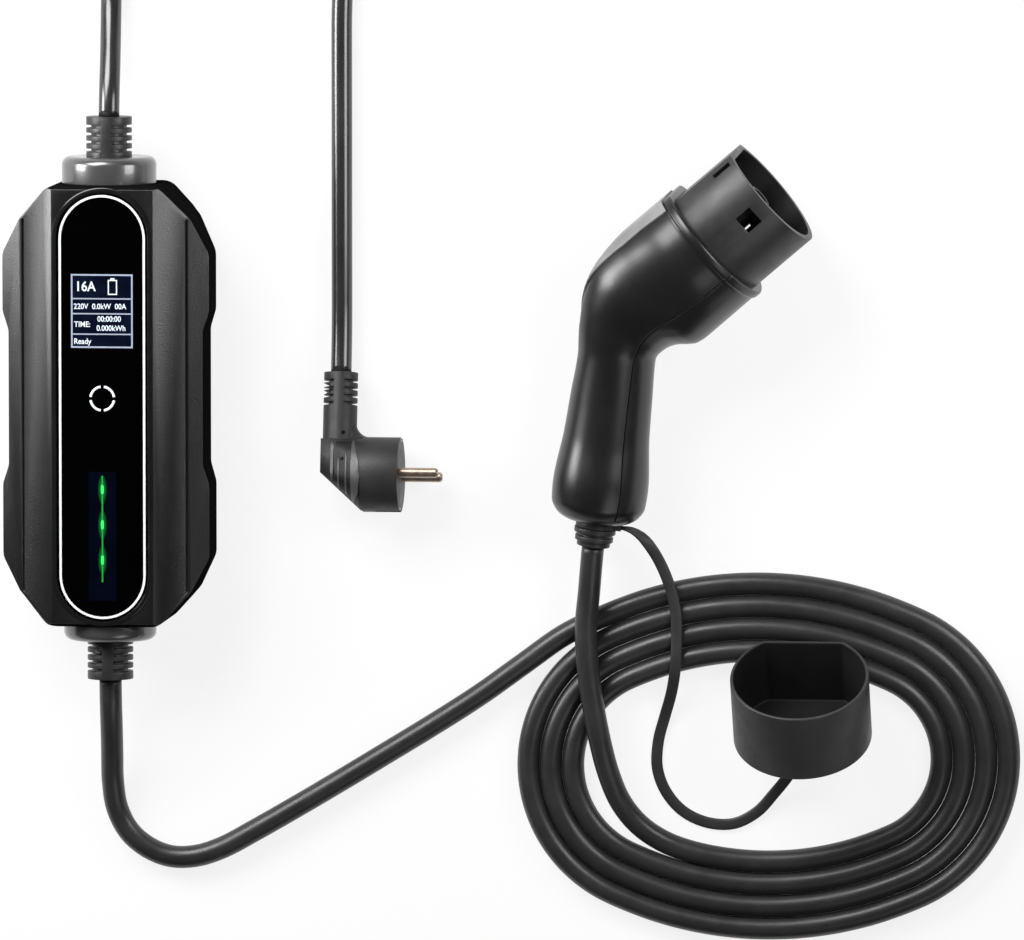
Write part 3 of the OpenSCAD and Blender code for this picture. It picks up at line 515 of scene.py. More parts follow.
class CHARGER_OT_stage(bpy.types.Operator):
    """Makes the camera, the floor and the lamps."""
    bl_idname = "charger.stage"
    bl_label = "Stage"

    TARGET = Vector((0.1946, -0.0305, 0.026))
    LEAN = (0.787, 0.617)
    FLOOR_GLOW = 0.84
    LAMPS = (
        ("key", (-0.45, 0.93, 0.95), (0.25, 0.0, 0.0), (1.0, 0.7), 26),
        ("left strip", (-0.6, 0.2, 0.32), (0.0, 0.15, 0.03), (0.27, 0.32), 4.6),
        ("right strip", (0.62, 0.17, 0.42), (0.04, 0.14, 0.03), (0.3, 0.3), 2.1),
        ("overhead", (1.5, -1.5, 2.0), (0.2, -0.03, 0.0), (1.6, 1.2), 9),
    )

    def execute(self, context):
        stage = settings("charger_stage")
        scene = context.scene
        scene.view_settings.view_transform = "Standard"
        aside = math.sin(stage.tilt)
        away = Vector((aside * self.LEAN[0], aside * self.LEAN[1], math.cos(stage.tilt))).normalized()
        right = Vector((0, 1, 0)).cross(away).normalized()
        camera = bpy.data.objects.new("camera", bpy.data.cameras.new("camera"))
        camera.data.lens = stage.lens
        camera.data.clip_end = 20
        camera.matrix_world = Matrix.Translation(self.TARGET + away * stage.distance) @ Matrix(
            (right, away.cross(right), away)).transposed().to_4x4()
        scene.collection.objects.link(camera)
        scene.camera = camera

        self.floor()
        for lamp in self.LAMPS:
            self.lamp(*lamp)
        self.world(scene)
        return {"FINISHED"}

    def floor(self):
        bm = bmesh.new()
        bmesh.ops.create_grid(bm, x_segments=2, y_segments=2, size=6.0)
        floor = from_bmesh("floor", bm, smooth=False)
        material = bpy.data.materials.new("pale floor")
        tree = empty_tree(material)
        path = add_node(tree, "ShaderNodeLightPath").outputs
        mirrored = math_node(tree, "MAXIMUM", path["Is Glossy Ray"], path["Is Transmission Ray"])
        seen = math_node(tree, "MAXIMUM", path["Is Camera Ray"], mirrored)
        diffuse = add_node(tree, "ShaderNodeBsdfDiffuse", {"Color": (0.9, 0.9, 0.9, 1)})
        glow = add_node(tree, "ShaderNodeEmission", {"Color": (1, 1, 1, 1)})
        mix = add_node(tree, "ShaderNodeMixShader", {
            0: math_node(tree, "MULTIPLY", seen, self.FLOOR_GLOW), 1: diffuse.outputs[0], 2: glow.outputs[0]})
        add_node(tree, "ShaderNodeOutputMaterial", {"Surface": mix.outputs[0]})
        paint(floor, material)
        return floor

    def lamp(self, name, place, target, size, power):
        data = bpy.data.lights.new(name, "AREA")
        data.shape = "RECTANGLE"
        data.size, data.size_y = size
        data.energy = power
        lamp = bpy.data.objects.new(name, data)
        lamp.visible_camera = False
        lamp.matrix_world = Matrix.Translation(place) @ (
            Vector(place) - Vector(target)).to_track_quat("Z", "Y").to_matrix().to_4x4()
        bpy.context.scene.collection.objects.link(lamp)

    def world(self, scene):
        world = bpy.data.worlds.new("studio")
        tree = empty_tree(world)
        seen = add_node(tree, "ShaderNodeLightPath").outputs["Is Camera Ray"]
        soft = add_node(tree, "ShaderNodeBackground", {"Color": (0.9, 0.93, 1.0, 1), "Strength": 0.07})
        white = add_node(tree, "ShaderNodeBackground", {"Color": (1, 1, 1, 1), "Strength": 1.0})
        mix = add_node(tree, "ShaderNodeMixShader", {0: seen, 1: soft.outputs[0], 2: white.outputs[0]})
        add_node(tree, "ShaderNodeOutputWorld", {"Surface": mix.outputs[0]})
        scene.world = world


class CHARGER_OT_leads(bpy.types.Operator):
    """Makes the charging lead with its coil, the mains lead and the strap of the cap."""
    bl_idname = "charger.leads"
    bl_label = "Leads"

    def execute(self, context):
        sizes = settings("charger_leads")
        jacket = moulded("cable jacket", sizes.colour, 0.36, 1400.0, 0.02 * MM, specular=0.5)
        smooth_jacket = moulded(
            "smooth jacket", sizes.colour, 0.22, 1400.0, 0.003 * MM, specular=0.8, rough_spread=0.02)
        strap_rubber = moulded("strap rubber", (0.022, 0.022, 0.022), 0.5, 900.0, 0.03 * MM)
        self.lay(
            "charging_lead", jacket, [LOW_EXIT, *CHARGE_ROUTE, *coil_points(), *GUN_ROUTE, GUN_EXIT],
            ((0, -1, 0), -GUN_OUT), (sizes.charge_d, sizes.charge_d), "cable",
            ("charge_lead", "charge_coil", "gun_lead"), far_end="object", stiffness="medium", lay="coiled")
        self.lay(
            "mains_lead_jacket", smooth_jacket, [TOP_EXIT, *MAINS_ROUTE, PLUG_EXIT],
            ((0, 1, 0), -PLUG_OUT), (sizes.mains_d, sizes.mains_d), "cable",
            ("mains_lead",), far_end="plug", stiffness="medium", lay="loose",
            with_pieces=[bpy.data.objects[name] for name in PLUG_PIECES])
        self.lay(
            "strap", strap_rubber, [STRAP_START, *STRAP_ROUTE, CAP_MIDDLE - LUG_L * CAP_AXIS],
            (GUN_SIDE, CAP_AXIS), (sizes.strap_w, sizes.strap_t), "cap",
            ("cap_strap",), 2.5 * MM, 16, math.pi / 2, far_end="object", stiffness="limp", lay="loose")
        return {"FINISHED"}

    def lay(self, name, material, points, ends, size, slot, nodes, step=3.2 * MM, sides=20, roll=0.0, **cord):
        """Sweeps a lead through the points, which leaves and arrives along its ends; the cord is not used."""
        line = above_floor(smooth_route(metres(points), *ends, step), size[1])
        lead = swept_tube(name, line, *ends, *size, sides, roll)
        finish_piece(lead, material, slot, *nodes)


class CHARGER_OT_case(bpy.types.Operator):
    """Rounds and finishes the two moulded shells of the control box."""
    bl_idname = "charger.case"
    bl_label = "Case shells"

    UPRIGHT = 0.4

    def execute(self, context):
        case = settings("charger_case")
        grained = moulded(
            "grained case", case.colour, 0.29, 1500.0, 0.1 * MM,
            mottling=0.1, specular=0.55, rough_spread=0.015)
        matt = moulded("matt sides", case.colour, 0.7, 1500.0, 0.1 * MM, mottling=0.1, specular=0.0)
        for node in ("front_shell", "rear_shell"):
            dressed_node(
                node, node + "_moulding", "case", grained, case.edge,
                second=matt, chosen=lambda centre, normal: abs(normal.z) < self.UPRIGHT)
        return {"FINISHED"}


# The front panel: glass, lip, printed outline, screen, touch ring and light

GLASS_TOP = 52.0
GLASS_W, GLASS_L = 44.0, 206.0
OUTLINE_W, OUTLINE_L = 40.6, 202.6
PRINT_T = 0.06
PANE_SINK, PANE_RISE = 0.2, 0.03


def stadium_points(width, length, offset, arc_steps=32):
    """Points round a stadium that lies along Y, with its edge moved out by offset."""
    radius = width / 2 + offset
    half = (length - width) / 2
    points = []
    for side, start in ((1, 0.0), (-1, math.pi)):
        for i in range(arc_steps + 1):
            a = start + math.pi * i / arc_steps
            points.append((radius * math.cos(a), side * half + radius * math.sin(a)))
    return points


def stadium_ring(name, width, length, section):
    """A closed ring on a stadium's edge; section lists (offset, height) round its own outline."""
    bm = bmesh.new()
    loops = [[bm.verts.new((x * MM, y * MM, z * MM)) for x, y in stadium_points(width, length, offset)]
             for offset, z in section]
    join_rings(bm, [*loops, loops[0]])
    ring = from_bmesh(name, bm)
    ring.data.set_sharp_from_angle(angle=math.radians(40))
    return ring


def add_slab(bm, x0, y0, x1, y1, z0, z1):
    """A thin block of print or cover between two corners, in millimetres."""
    matrix = Matrix.Translation(Vector((x0 + x1, y0 + y1, z0 + z1)) / 2 * MM) @ Matrix.Diagonal(
        Vector(((x1 - x0) * MM, (y1 - y0) * MM, (z1 - z0) * MM, 1)))
    bmesh.ops.create_cube(bm, size=1, matrix=matrix)


def add_frame(bm, x0, y0, x1, y1, line, z0, z1):
    """Four slabs round a rectangle, each as wide as the line."""
    for box in ((x0, y0, x1, y0 + line), (x0, y1 - line, x1, y1),
                (x0, y0 + line, x0 + line, y1 - line), (x1 - line, y0 + line, x1, y1 - line)):
        add_slab(bm, *box, z0, z1)


def add_text(bm, body, size, x, y, z, bold=0.0, narrow=0.9):
    """Adds raised print with its lower left corner at x and y; bold thickens its strokes."""
    curve = bpy.data.curves.new(body, "FONT")
    curve.body = body
    curve.size = size * MM
    curve.extrude = PRINT_T / 2 * MM
    curve.offset = bold * MM
    carrier = link("print", curve)
    bpy.context.view_layer.update()
    mesh = bpy.data.meshes.new_from_object(carrier.evaluated_get(bpy.context.evaluated_depsgraph_get()))
    mesh.transform(Matrix.Translation(Vector((x, y, z)) * MM) @ Matrix.Diagonal(Vector((narrow, 1, 1, 1))))
    bm.from_mesh(mesh)
    bpy.data.objects.remove(carrier)
    bpy.data.meshes.remove(mesh)


class CHARGER_OT_front_panel(bpy.types.Operator):
    """Makes the glossy front, its lip and the white outline."""
    bl_idname = "charger.front_panel"
    bl_label = "Front panel"

    def execute(self, context):
        case = settings("charger_case")
        gloss = moulded(
            "black glass", (0.0003, 0.0003, 0.0003), 0.06, 60.0, 0.0,
            mottling=0.1, specular=0.08, rough_spread=0.02)
        dressed_node("front_glass", "front_glass_pane", "glass_panel", gloss, 0.3 * MM, 2)

        bezel = case.bezel_w / MM
        lip = stadium_ring("glass_lip", GLASS_W, GLASS_L, [
            (x, GLASS_TOP + z) for x, z in (
                (0.1, -0.8), (0.1, 0.35), (0.35, 0.6), (bezel - 0.7, 0.6), (bezel - 0.2, 0.4),
                (bezel, -0.1), (bezel, -0.8))])
        finish_piece(lip, moulded("gloss lip", case.colour, 0.16, 900.0, 0.01 * MM, specular=0.6), "case")

        half = case.outline_w / MM / 2
        line = stadium_ring("panel_outline", OUTLINE_W, OUTLINE_L, [
            (-half, GLASS_TOP - 0.1), (-half, GLASS_TOP + PRINT_T),
            (half, GLASS_TOP + PRINT_T), (half, GLASS_TOP - 0.1)])
        white = moulded("white print", (0.86, 0.86, 0.87), 0.45, 2000.0, 0.004 * MM, mottling=0.03)
        finish_piece(line, white, "glass_panel")
        return {"FINISHED"}


class CHARGER_OT_screen(bpy.types.Operator):
    """Makes the lit screen with its readings."""
    bl_idname = "charger.screen"
    bl_label = "Screen"

    LEFT, RIGHT, LOW, HIGH = -14.9, 14.9, 28.5, 63.9
    FRAME_W, RULE_W, RULE_INSET = 0.75, 0.6, 0.7
    BOLD = 0.016
    ROWS = (35.1, 44.9, 52.1)
    BATTERY = (2.9, 54.0, 7.4, 61.2, 0.55)
    TERMINAL = (4.1, 61.2, 6.2, 62.0)
    READINGS = (
        ("16A", 6.6, -12.9, 55.8), ("220V  0.0kW  00A", 3.7, -13.6, 47.2), ("TIME:", 3.7, -13.4, 38.6),
        ("00:00:00", 3.7, -2.2, 41.2), ("0.000kWh", 3.7, -2.6, 36.8), ("Ready", 3.8, -13.6, 30.4),
    )

    def execute(self, context):
        z = GLASS_TOP
        bm = bmesh.new()
        add_slab(bm, self.LEFT, self.LOW, self.RIGHT, self.HIGH, z - PANE_SINK, z + PANE_RISE)
        face = from_bmesh("screen_face", bm, smooth=False)
        finish_piece(face, self.dark_glow(), "display")

        bm = bmesh.new()
        add_frame(bm, self.LEFT, self.LOW, self.RIGHT, self.HIGH, self.FRAME_W, z, z + PRINT_T)
        left, right, half = self.LEFT + self.RULE_INSET, self.RIGHT - self.RULE_INSET, self.RULE_W / 2
        for y in self.ROWS:
            add_slab(bm, left, y - half, right, y + half, z, z + PRINT_T)
        lines = from_bmesh("screen_lines", bm, smooth=False)
        finish_piece(lines, lit("screen line glow", (0.55, 0.62, 0.78), 0.2), "display")

        bm = bmesh.new()
        for body, size, x, y in self.READINGS:
            add_text(bm, body, size, x, y, z + PRINT_T / 2, bold=self.BOLD * size)
        add_frame(bm, *self.BATTERY, z, z + PRINT_T)
        add_slab(bm, *self.TERMINAL, z, z + PRINT_T)
        print_piece = from_bmesh("screen_readings", bm, smooth=False)
        finish_piece(print_piece, lit("screen reading glow", (0.82, 0.9, 1.0), 0.62), "display")
        return {"FINISHED"}

    def dark_glow(self):
        """Deep blue-black of an idle screen, faintly mottled."""
        material, tree, shader, coords = new_material("screen dark")
        clouds = noise(tree, coords, 60.0, 2.0)
        fill(tree, shader, {
            "Base Color": blend_colours(tree, clouds, (0.001, 0.0015, 0.006), (0.003, 0.006, 0.016)),
            "Roughness": 0.12, "Specular IOR Level": 0.1,
            "Emission Color": (0.03, 0.06, 0.2, 1.0), "Emission Strength": 0.015})
        return material


def geometry_tree(name, sockets):
    """A Geometry Nodes tree, its inputs and a dictionary of their identifiers."""
    tree = bpy.data.node_groups.new(name, "GeometryNodeTree")
    tree.interface.new_socket("Geometry", in_out="OUTPUT", socket_type="NodeSocketGeometry")
    keys = {}
    for label, kind, value in (*sockets, ("Material", "Material", None)):
        socket = tree.interface.new_socket(label, in_out="INPUT", socket_type="NodeSocket" + kind)
        if value is not None:
            socket.default_value = value
        keys[label] = socket.identifier
    return tree, tree.nodes.new("NodeGroupInput").outputs, keys


def set_out(tree, given, points, shape, **placing):
    """Ends a tree: sets the shape on each point, makes the copies real and gives them the material."""
    place = add_node(tree, "GeometryNodeInstanceOnPoints", {"Points": points, "Instance": shape, **placing})
    real = add_node(tree, "GeometryNodeRealizeInstances", {"Geometry": place.outputs["Instances"]})
    finish = add_node(tree, "GeometryNodeSetMaterial", {
        "Geometry": real.outputs["Geometry"], "Material": given["Material"]})
    add_node(tree, "NodeGroupOutput", {"Geometry": finish.outputs["Geometry"]})


def run_tree(name, tree, keys, values):
    """Makes a piece from a tree: sets its inputs, bakes it and drops the modifier."""
    piece = link(name, bpy.data.meshes.new(name))
    modifier = piece.modifiers.new("shape", "NODES")
    modifier.node_group = tree
    for label, value in values.items():
        modifier[keys[label]] = value
    return bake_modifiers(piece)


def around_tree():
    """Arc pieces of flat print set evenly round a centre."""
    tree, given, keys = geometry_tree("arcs round a centre", [
        ("Count", "Int", 4), ("Radius", "Float", 6 * MM), ("Sweep", "Float", 1.3),
        ("Width", "Float", 1.2 * MM), ("Thickness", "Float", 0.1 * MM), ("Centre", "Vector", None)])
    points = add_node(tree, "GeometryNodePoints", {"Count": given["Count"], "Position": given["Centre"]})
    arc = add_node(tree, "GeometryNodeCurveArc", {
        "Resolution": 24, "Radius": given["Radius"], "Sweep Angle": given["Sweep"]}, mode="RADIUS")
    section = add_node(tree, "GeometryNodeCurvePrimitiveQuadrilateral", {
        "Width": given["Width"], "Height": given["Thickness"]})
    solid = add_node(tree, "GeometryNodeCurveToMesh", {
        "Curve": arc.outputs["Curve"], "Profile Curve": section.outputs["Curve"], "Fill Caps": True})
    share = math_node(tree, "DIVIDE", math.tau, given["Count"])
    turn = math_node(tree, "MULTIPLY", add_node(tree, "GeometryNodeInputIndex").outputs["Index"], share)
    gap = math_node(tree, "SUBTRACT", share, given["Sweep"])
    angle = add_node(tree, "ShaderNodeCombineXYZ", {"Z": math_node(tree, "MULTIPLY_ADD", gap, 0.5, turn)})
    set_out(tree, given, points.outputs["Points"], solid.outputs["Mesh"], Rotation=angle.outputs["Vector"])
    return tree, keys


def bulge_row_tree():
    """Soft bulges of light in a row."""
    tree, given, keys = geometry_tree("bulges in a row", [
        ("Count", "Int", 3), ("Start", "Vector", None), ("Step", "Vector", None), ("Size", "Vector", None)])
    row = add_node(tree, "GeometryNodeMeshLine", {
        "Count": given["Count"], "Start Location": given["Start"], "Offset": given["Step"]})
    ball = add_node(tree, "GeometryNodeMeshUVSphere", {"Segments": 24, "Rings": 12, "Radius": 0.5})
    set_out(tree, given, row.outputs["Mesh"], ball.outputs["Mesh"], Scale=given["Size"])
    return tree, keys


class CHARGER_OT_touch_ring(bpy.types.Operator):
    """Prints the four arcs of the touch button."""
    bl_idname = "charger.touch_ring"
    bl_label = "Touch ring"

    def execute(self, context):
        tree, keys = around_tree()
        glow = lit("touch ring glow", (0.95, 0.97, 1.0), 0.6)
        ring = run_tree("touch_ring", tree, keys, {
            "Count": 4, "Radius": 5.7 * MM, "Sweep": math.radians(74), "Width": 1.15 * MM,
            "Thickness": 0.14 * MM, "Centre": (0.1 * MM, 4.2 * MM, GLASS_TOP * MM), "Material": glow})
        finish_piece(ring, glow, "glass_panel")
        return {"FINISHED"}


class CHARGER_OT_charge_light(bpy.types.Operator):
    """Makes the light window with its green bar and three bulges."""
    bl_idname = "charger.charge_light"
    bl_label = "Charging light"

    WINDOW = (-6.7, -93.0, 6.7, -31.0)
    BAR_Y = (-84.0, -33.0)
    BAR_W, BAR_T = 0.7, 0.09
    BULGE_COUNT, FIRST_BULGE, BULGE_STEP = 3, -39.5, -17.0
    BULGE_SIZE = Vector((1.5, 5.6, 0.3))
    HAZE_W = 2.2
    HAZE_FALL = 2.3
    HAZE_END, END_FALL = 2.45, 4.0

    def execute(self, context):
        case = settings("charger_case")
        z = GLASS_TOP
        bm = bmesh.new()
        add_slab(bm, *self.WINDOW, z - PANE_SINK, z + PANE_RISE)
        window = from_bmesh("light_window", bm, smooth=False)
        finish_piece(window, self.haze(case.glow), "light")

        bm = bmesh.new()
        add_slab(bm, -self.BAR_W / 2, self.BAR_Y[0], self.BAR_W / 2, self.BAR_Y[1], z, z + self.BAR_T)
        bar = from_bmesh("light_bar", bm, smooth=False)
        finish_piece(bar, lit("green bar glow", (0.004, 0.42, 0.03), 0.45), "light")

        tree, keys = bulge_row_tree()
        glow = lit("green bulge glow", (0.04, 1.0, 0.13), 0.8)
        bulges = run_tree("light_bulges", tree, keys, {
            "Count": self.BULGE_COUNT, "Start": (0, self.FIRST_BULGE * MM, z * MM),
            "Step": (0, self.BULGE_STEP * MM, 0), "Size": self.BULGE_SIZE * MM, "Material": glow})
        for face in bulges.data.polygons:
            face.use_smooth = True
        finish_piece(bulges, glow, "light")
        return {"FINISHED"}

    def haze(self, glow):
        """Dark smoked window with a green haze that falls off from each bulge, and ends past the last."""
        material, tree, shader, coords = new_material("smoked window")
        parts = add_node(tree, "ShaderNodeSeparateXYZ", {0: coords}).outputs
        along = math_node(
            tree, "MULTIPLY_ADD", parts["Y"], 1 / (self.BULGE_STEP * MM), -self.FIRST_BULGE / self.BULGE_STEP)
        nearest = math_node(tree, "PINGPONG", along, 0.5)
        past_last = math_node(tree, "MULTIPLY_ADD", along, self.END_FALL, -self.END_FALL * self.HAZE_END)
        place = add_node(tree, "ShaderNodeCombineXYZ", {
            "X": math_node(tree, "MULTIPLY", parts["X"], 1 / (self.HAZE_W * MM)),
            "Y": math_node(tree, "MULTIPLY", nearest, self.HAZE_FALL),
            "Z": math_node(tree, "MAXIMUM", past_last, 0.0)})
        fall = add_node(
            tree, "ShaderNodeTexGradient", {"Vector": place.outputs["Vector"]}, gradient_type="SPHERICAL")
        clouds = noise(tree, coords, 60.0, 2.0)
        fill(tree, shader, {
            "Base Color": blend_colours(tree, clouds, (0.0006, 0.001, 0.004), (0.0012, 0.002, 0.007)),
            "Roughness": 0.1, "Specular IOR Level": 0.08,
            "Emission Color": (glow[0] * 0.4, glow[1] * 0.8, glow[2], 1.0),
            "Emission Strength": remap(tree, fall.outputs["Fac"], 0.0, 0.4, 0.0, 1.0)})
        return material


class CHARGER_OT_glands(bpy.types.Operator):
    """Finishes the two flanges and the ribbed sleeves on the box."""
    bl_idname = "charger.glands"
    bl_label = "Cable glands"

    def execute(self, context):
        satin = moulded(
            "satin gland", (0.045, 0.045, 0.0455), 0.3, 700.0, 0.008 * MM,
            coat=0.7, specular=1.0, rough_spread=0.03)
        rubber = moulded("sleeve rubber", (0.02, 0.02, 0.021), 0.42, 900.0, 0.03 * MM)
        for node in ("top_flange", "low_flange"):
            dressed_node(node, node + "_turned", "gland", satin, 0.5 * MM)
        for node in ("top_sleeve", "low_sleeve"):
            dressed_node(node, node + "_ribs", "sleeve", rubber, 0.45 * MM)
        return {"FINISHED"}


# The charging gun

LIP_ROWS = ((0, COLLAR_R - 0.8), (1, COLLAR_R), (3.6, COLLAR_R), (5, COLLAR_R - 0.8))
HEEL_ROWS = (
    (GUN_L - 17, HEEL_R), (GUN_L - 9, HEEL_R - 0.4), (GUN_L - 4, HEEL_R - 3), (GUN_L - 1, HEEL_R - 7.5),
    (GUN_L, END_R),
)
DEPTH_TABLE = (
    *LIP_ROWS, (NECK_L - 6, COLLAR_R - 0.6), (NECK_L + 6, COLLAR_R - 3), (NECK_L + 17, COLLAR_R - 8.4),
    (NECK_L + 26, WAIST_R + 3.6), (NECK_L + 38, WAIST_R), (NECK_L + 56, WAIST_R + 0.8),
    (NECK_L + 76, WAIST_R + 1.8), *HEEL_ROWS,
)
SIDE_TABLE = (
    *LIP_ROWS, (14, COLLAR_R - 0.8), (NECK_L - 6, COLLAR_R - 4.4), (NECK_L + 6, COLLAR_R - 7),
    (NECK_L + 17, COLLAR_R - 10.4), (NECK_L + 26, WAIST_R + 3), (NECK_L + 38, WAIST_R + 0.8),
    (NECK_L + 56, WAIST_R + 0.4), (NECK_L + 76, WAIST_R + 1), *HEEL_ROWS,
)
FLAT_TABLE = (
    (0, COLLAR_FLAT - 0.6), (1, COLLAR_FLAT), (NECK_L - 6, COLLAR_FLAT), (NECK_L + 6, COLLAR_FLAT - 2),
    (NECK_L + 17, COLLAR_FLAT - 5.4), (NECK_L + 26, COLLAR_FLAT - 8.6), (NECK_L + 38, WAIST_R - 0.6),
    (NECK_L + 64, WAIST_R + 2), (GUN_L, HEEL_R + 10),
)
GRIP_A = 58.0
SEAM_A = 0.5
PLATE_A = 45.0
PLATE_T = 1.0
PLATE_GAP = 0.02
SEAM_EDGE, PLATE_EDGE = 0.5, 0.4
PLATE_TABLE = ((5, 1.0), (20, 0.95), (36, 0.88), (44, 0.8), (52, 0.64), (58, 0.42), (63, 0.12), (64, 0.04))


def smooth_lookup(table, s):
    """Value of a table at s along a curve that never overshoots its points."""
    if s <= table[0][0]:
        return table[0][1]
    if s >= table[-1][0]:
        return table[-1][1]
    slopes = [(b[1] - a[1]) / (b[0] - a[0]) for a, b in zip(table, table[1:])]
    i = max(k for k in range(len(slopes)) if table[k][0] <= s)

    def tangent(k):
        if k in (0, len(slopes)):
            return slopes[0] if k == 0 else slopes[-1]
        if slopes[k - 1] * slopes[k] <= 0:
            return 0.0
        return 2 * slopes[k - 1] * slopes[k] / (slopes[k - 1] + slopes[k])

    (start, low), (end, high) = table[i], table[i + 1]
    h = end - start
    t = (s - start) / h
    return (
        low * (1 + 2 * t) * (1 - t) ** 2 + tangent(i) * h * t * (1 - t) ** 2
        + high * t * t * (3 - 2 * t) + tangent(i + 1) * h * t * t * (t - 1))


def skin_radius(s, degrees):
    """Distance from the spine to the skin at an angle from the gun's back, with a softened flat."""
    a = math.radians(degrees)
    deep, thick, flat = (smooth_lookup(t, s) for t in (DEPTH_TABLE, SIDE_TABLE, FLAT_TABLE))
    oval = 1 / math.sqrt((math.cos(a) / deep) ** 2 + (math.sin(a) / thick) ** 2)
    if math.cos(a) < 0.05:
        return oval
    cut = flat / math.cos(a)
    soft = 0.5
    if abs(cut - oval) >= soft:
        return min(cut, oval)
    return min(cut, oval) - (soft - abs(cut - oval)) ** 2 / (4 * soft)


def skin_point(s, degrees, depth):
    """The point at s and an angle from the gun's back, depth below its skin, in the set's frame."""
    a = math.radians(degrees)
    way = math.pi / 2 + spine_angle(s)
    r = skin_radius(s, degrees) - depth
    return gun_point(spine(s) + r * Vector((
        math.cos(a) * math.cos(way), math.cos(a) * math.sin(way), math.sin(a))))


def spread(start, end, step):
    """Values from start to end, evenly apart and no more than step."""
    count = max(1, math.ceil((end - start) / step))
    return [start + (end - start) * i / count for i in range(count + 1)]


def seam_profile(start, end, outer, inner, edge, step=4.0):
    """Angles and depths round one moulded wall, with its two seam edges rounded."""
    angles = spread(start + edge * 2.4, end - edge * 2.4, step)
    round_in = ((0.0, 1.0), (0.25, 0.45), (0.6, 0.14), (1.2, 0.02))
    lead = [(start + edge * 2 * t, outer + edge * d) for t, d in round_in]
    trail = [(end - edge * 2 * t, outer + edge * d) for t, d in reversed(round_in)]
    top = lead + [(a, outer) for a in angles] + trail
    return top + [(a, inner) for a in reversed([start, *angles, end])]


def gun_wall(name, places, profile, widen=lambda s: 1.0):
    """A closed moulded wall that follows the gun; widen scales its angles at each place."""
    bm = bmesh.new()
    rings = [[bm.verts.new(skin_point(s, a * widen(s), d)) for a, d in profile] for s in places]
    ends = [bm.faces.new(ring) for ring in (rings[0], rings[-1])]
    bmesh.ops.triangulate(bm, faces=ends)
    join_rings(bm, rings)
    wall = from_bmesh(name, bm)
    wall.data.set_sharp_from_angle(angle=math.radians(42))
    return wall


def gun_places(start, end):
    """Places along the gun, close together at the collar's lip and at the heel."""
    fine = [0, 0.3, 0.6, 1, 2.3, 3.6, 4.0, 4.5, 5]
    middle = spread(6.5, GUN_L - 17, 2.2)
    heel = [GUN_L - d for d in (
        15.5, 14, 12.5, 11, 10, 9, 8, 7, 6, 5, 4, 3.2, 2.5, 1.8, 1.3, 0.9, 0.5, 0.2, 0)]
    return [s for s in fine + middle + heel if start <= s <= end]


class CHARGER_OT_gun_body(bpy.types.Operator):
    """Makes the gun's glossy housing, its grip panel and the plate on its back."""
    bl_idname = "charger.gun_body"
    bl_label = "Gun body"

    def execute(self, context):
        gun = settings("charger_gun")
        gloss = moulded("gun gloss", gun.colour, 0.3, 1100.0, 0.01 * MM, specular=0.6, rough_spread=0.02)
        satin = moulded("plate plastic", (0.2, 0.2, 0.202), 0.5, 1300.0, 0.04 * MM, specular=0.6)
        wall = gun.wall / MM
        places = gun_places(0, GUN_L)
        housing = gun_wall(
            "gun_housing_moulding", places, seam_profile(GRIP_A - 180, 180 - GRIP_A, 0, wall, SEAM_EDGE))
        finish_piece(housing, gloss, "gun", "gun_housing")
        grip_edge = GRIP_A - SEAM_A
        grip = gun_wall(
            "grip_moulding", places, seam_profile(180 - grip_edge, 180 + grip_edge, 0, wall, SEAM_EDGE))
        finish_piece(grip, gloss, "grip", "grip_panel")
        plate = gun_wall(
            "back_plate", gun_places(PLATE_TABLE[0][0], PLATE_TABLE[-1][0]),
            seam_profile(-PLATE_A, PLATE_A, -PLATE_T, -PLATE_GAP, PLATE_EDGE),
            lambda s: smooth_lookup(PLATE_TABLE, s))
        finish_piece(plate, satin, "gun_trim", "top_plate")
        rubber = moulded("gun sleeve rubber", (0.02, 0.02, 0.021), 0.42, 900.0, 0.03 * MM)
        dressed_node("gun_sleeve", "gun_sleeve_ribs", "sleeve", rubber, 0.4 * MM)
        return {"FINISHED"}


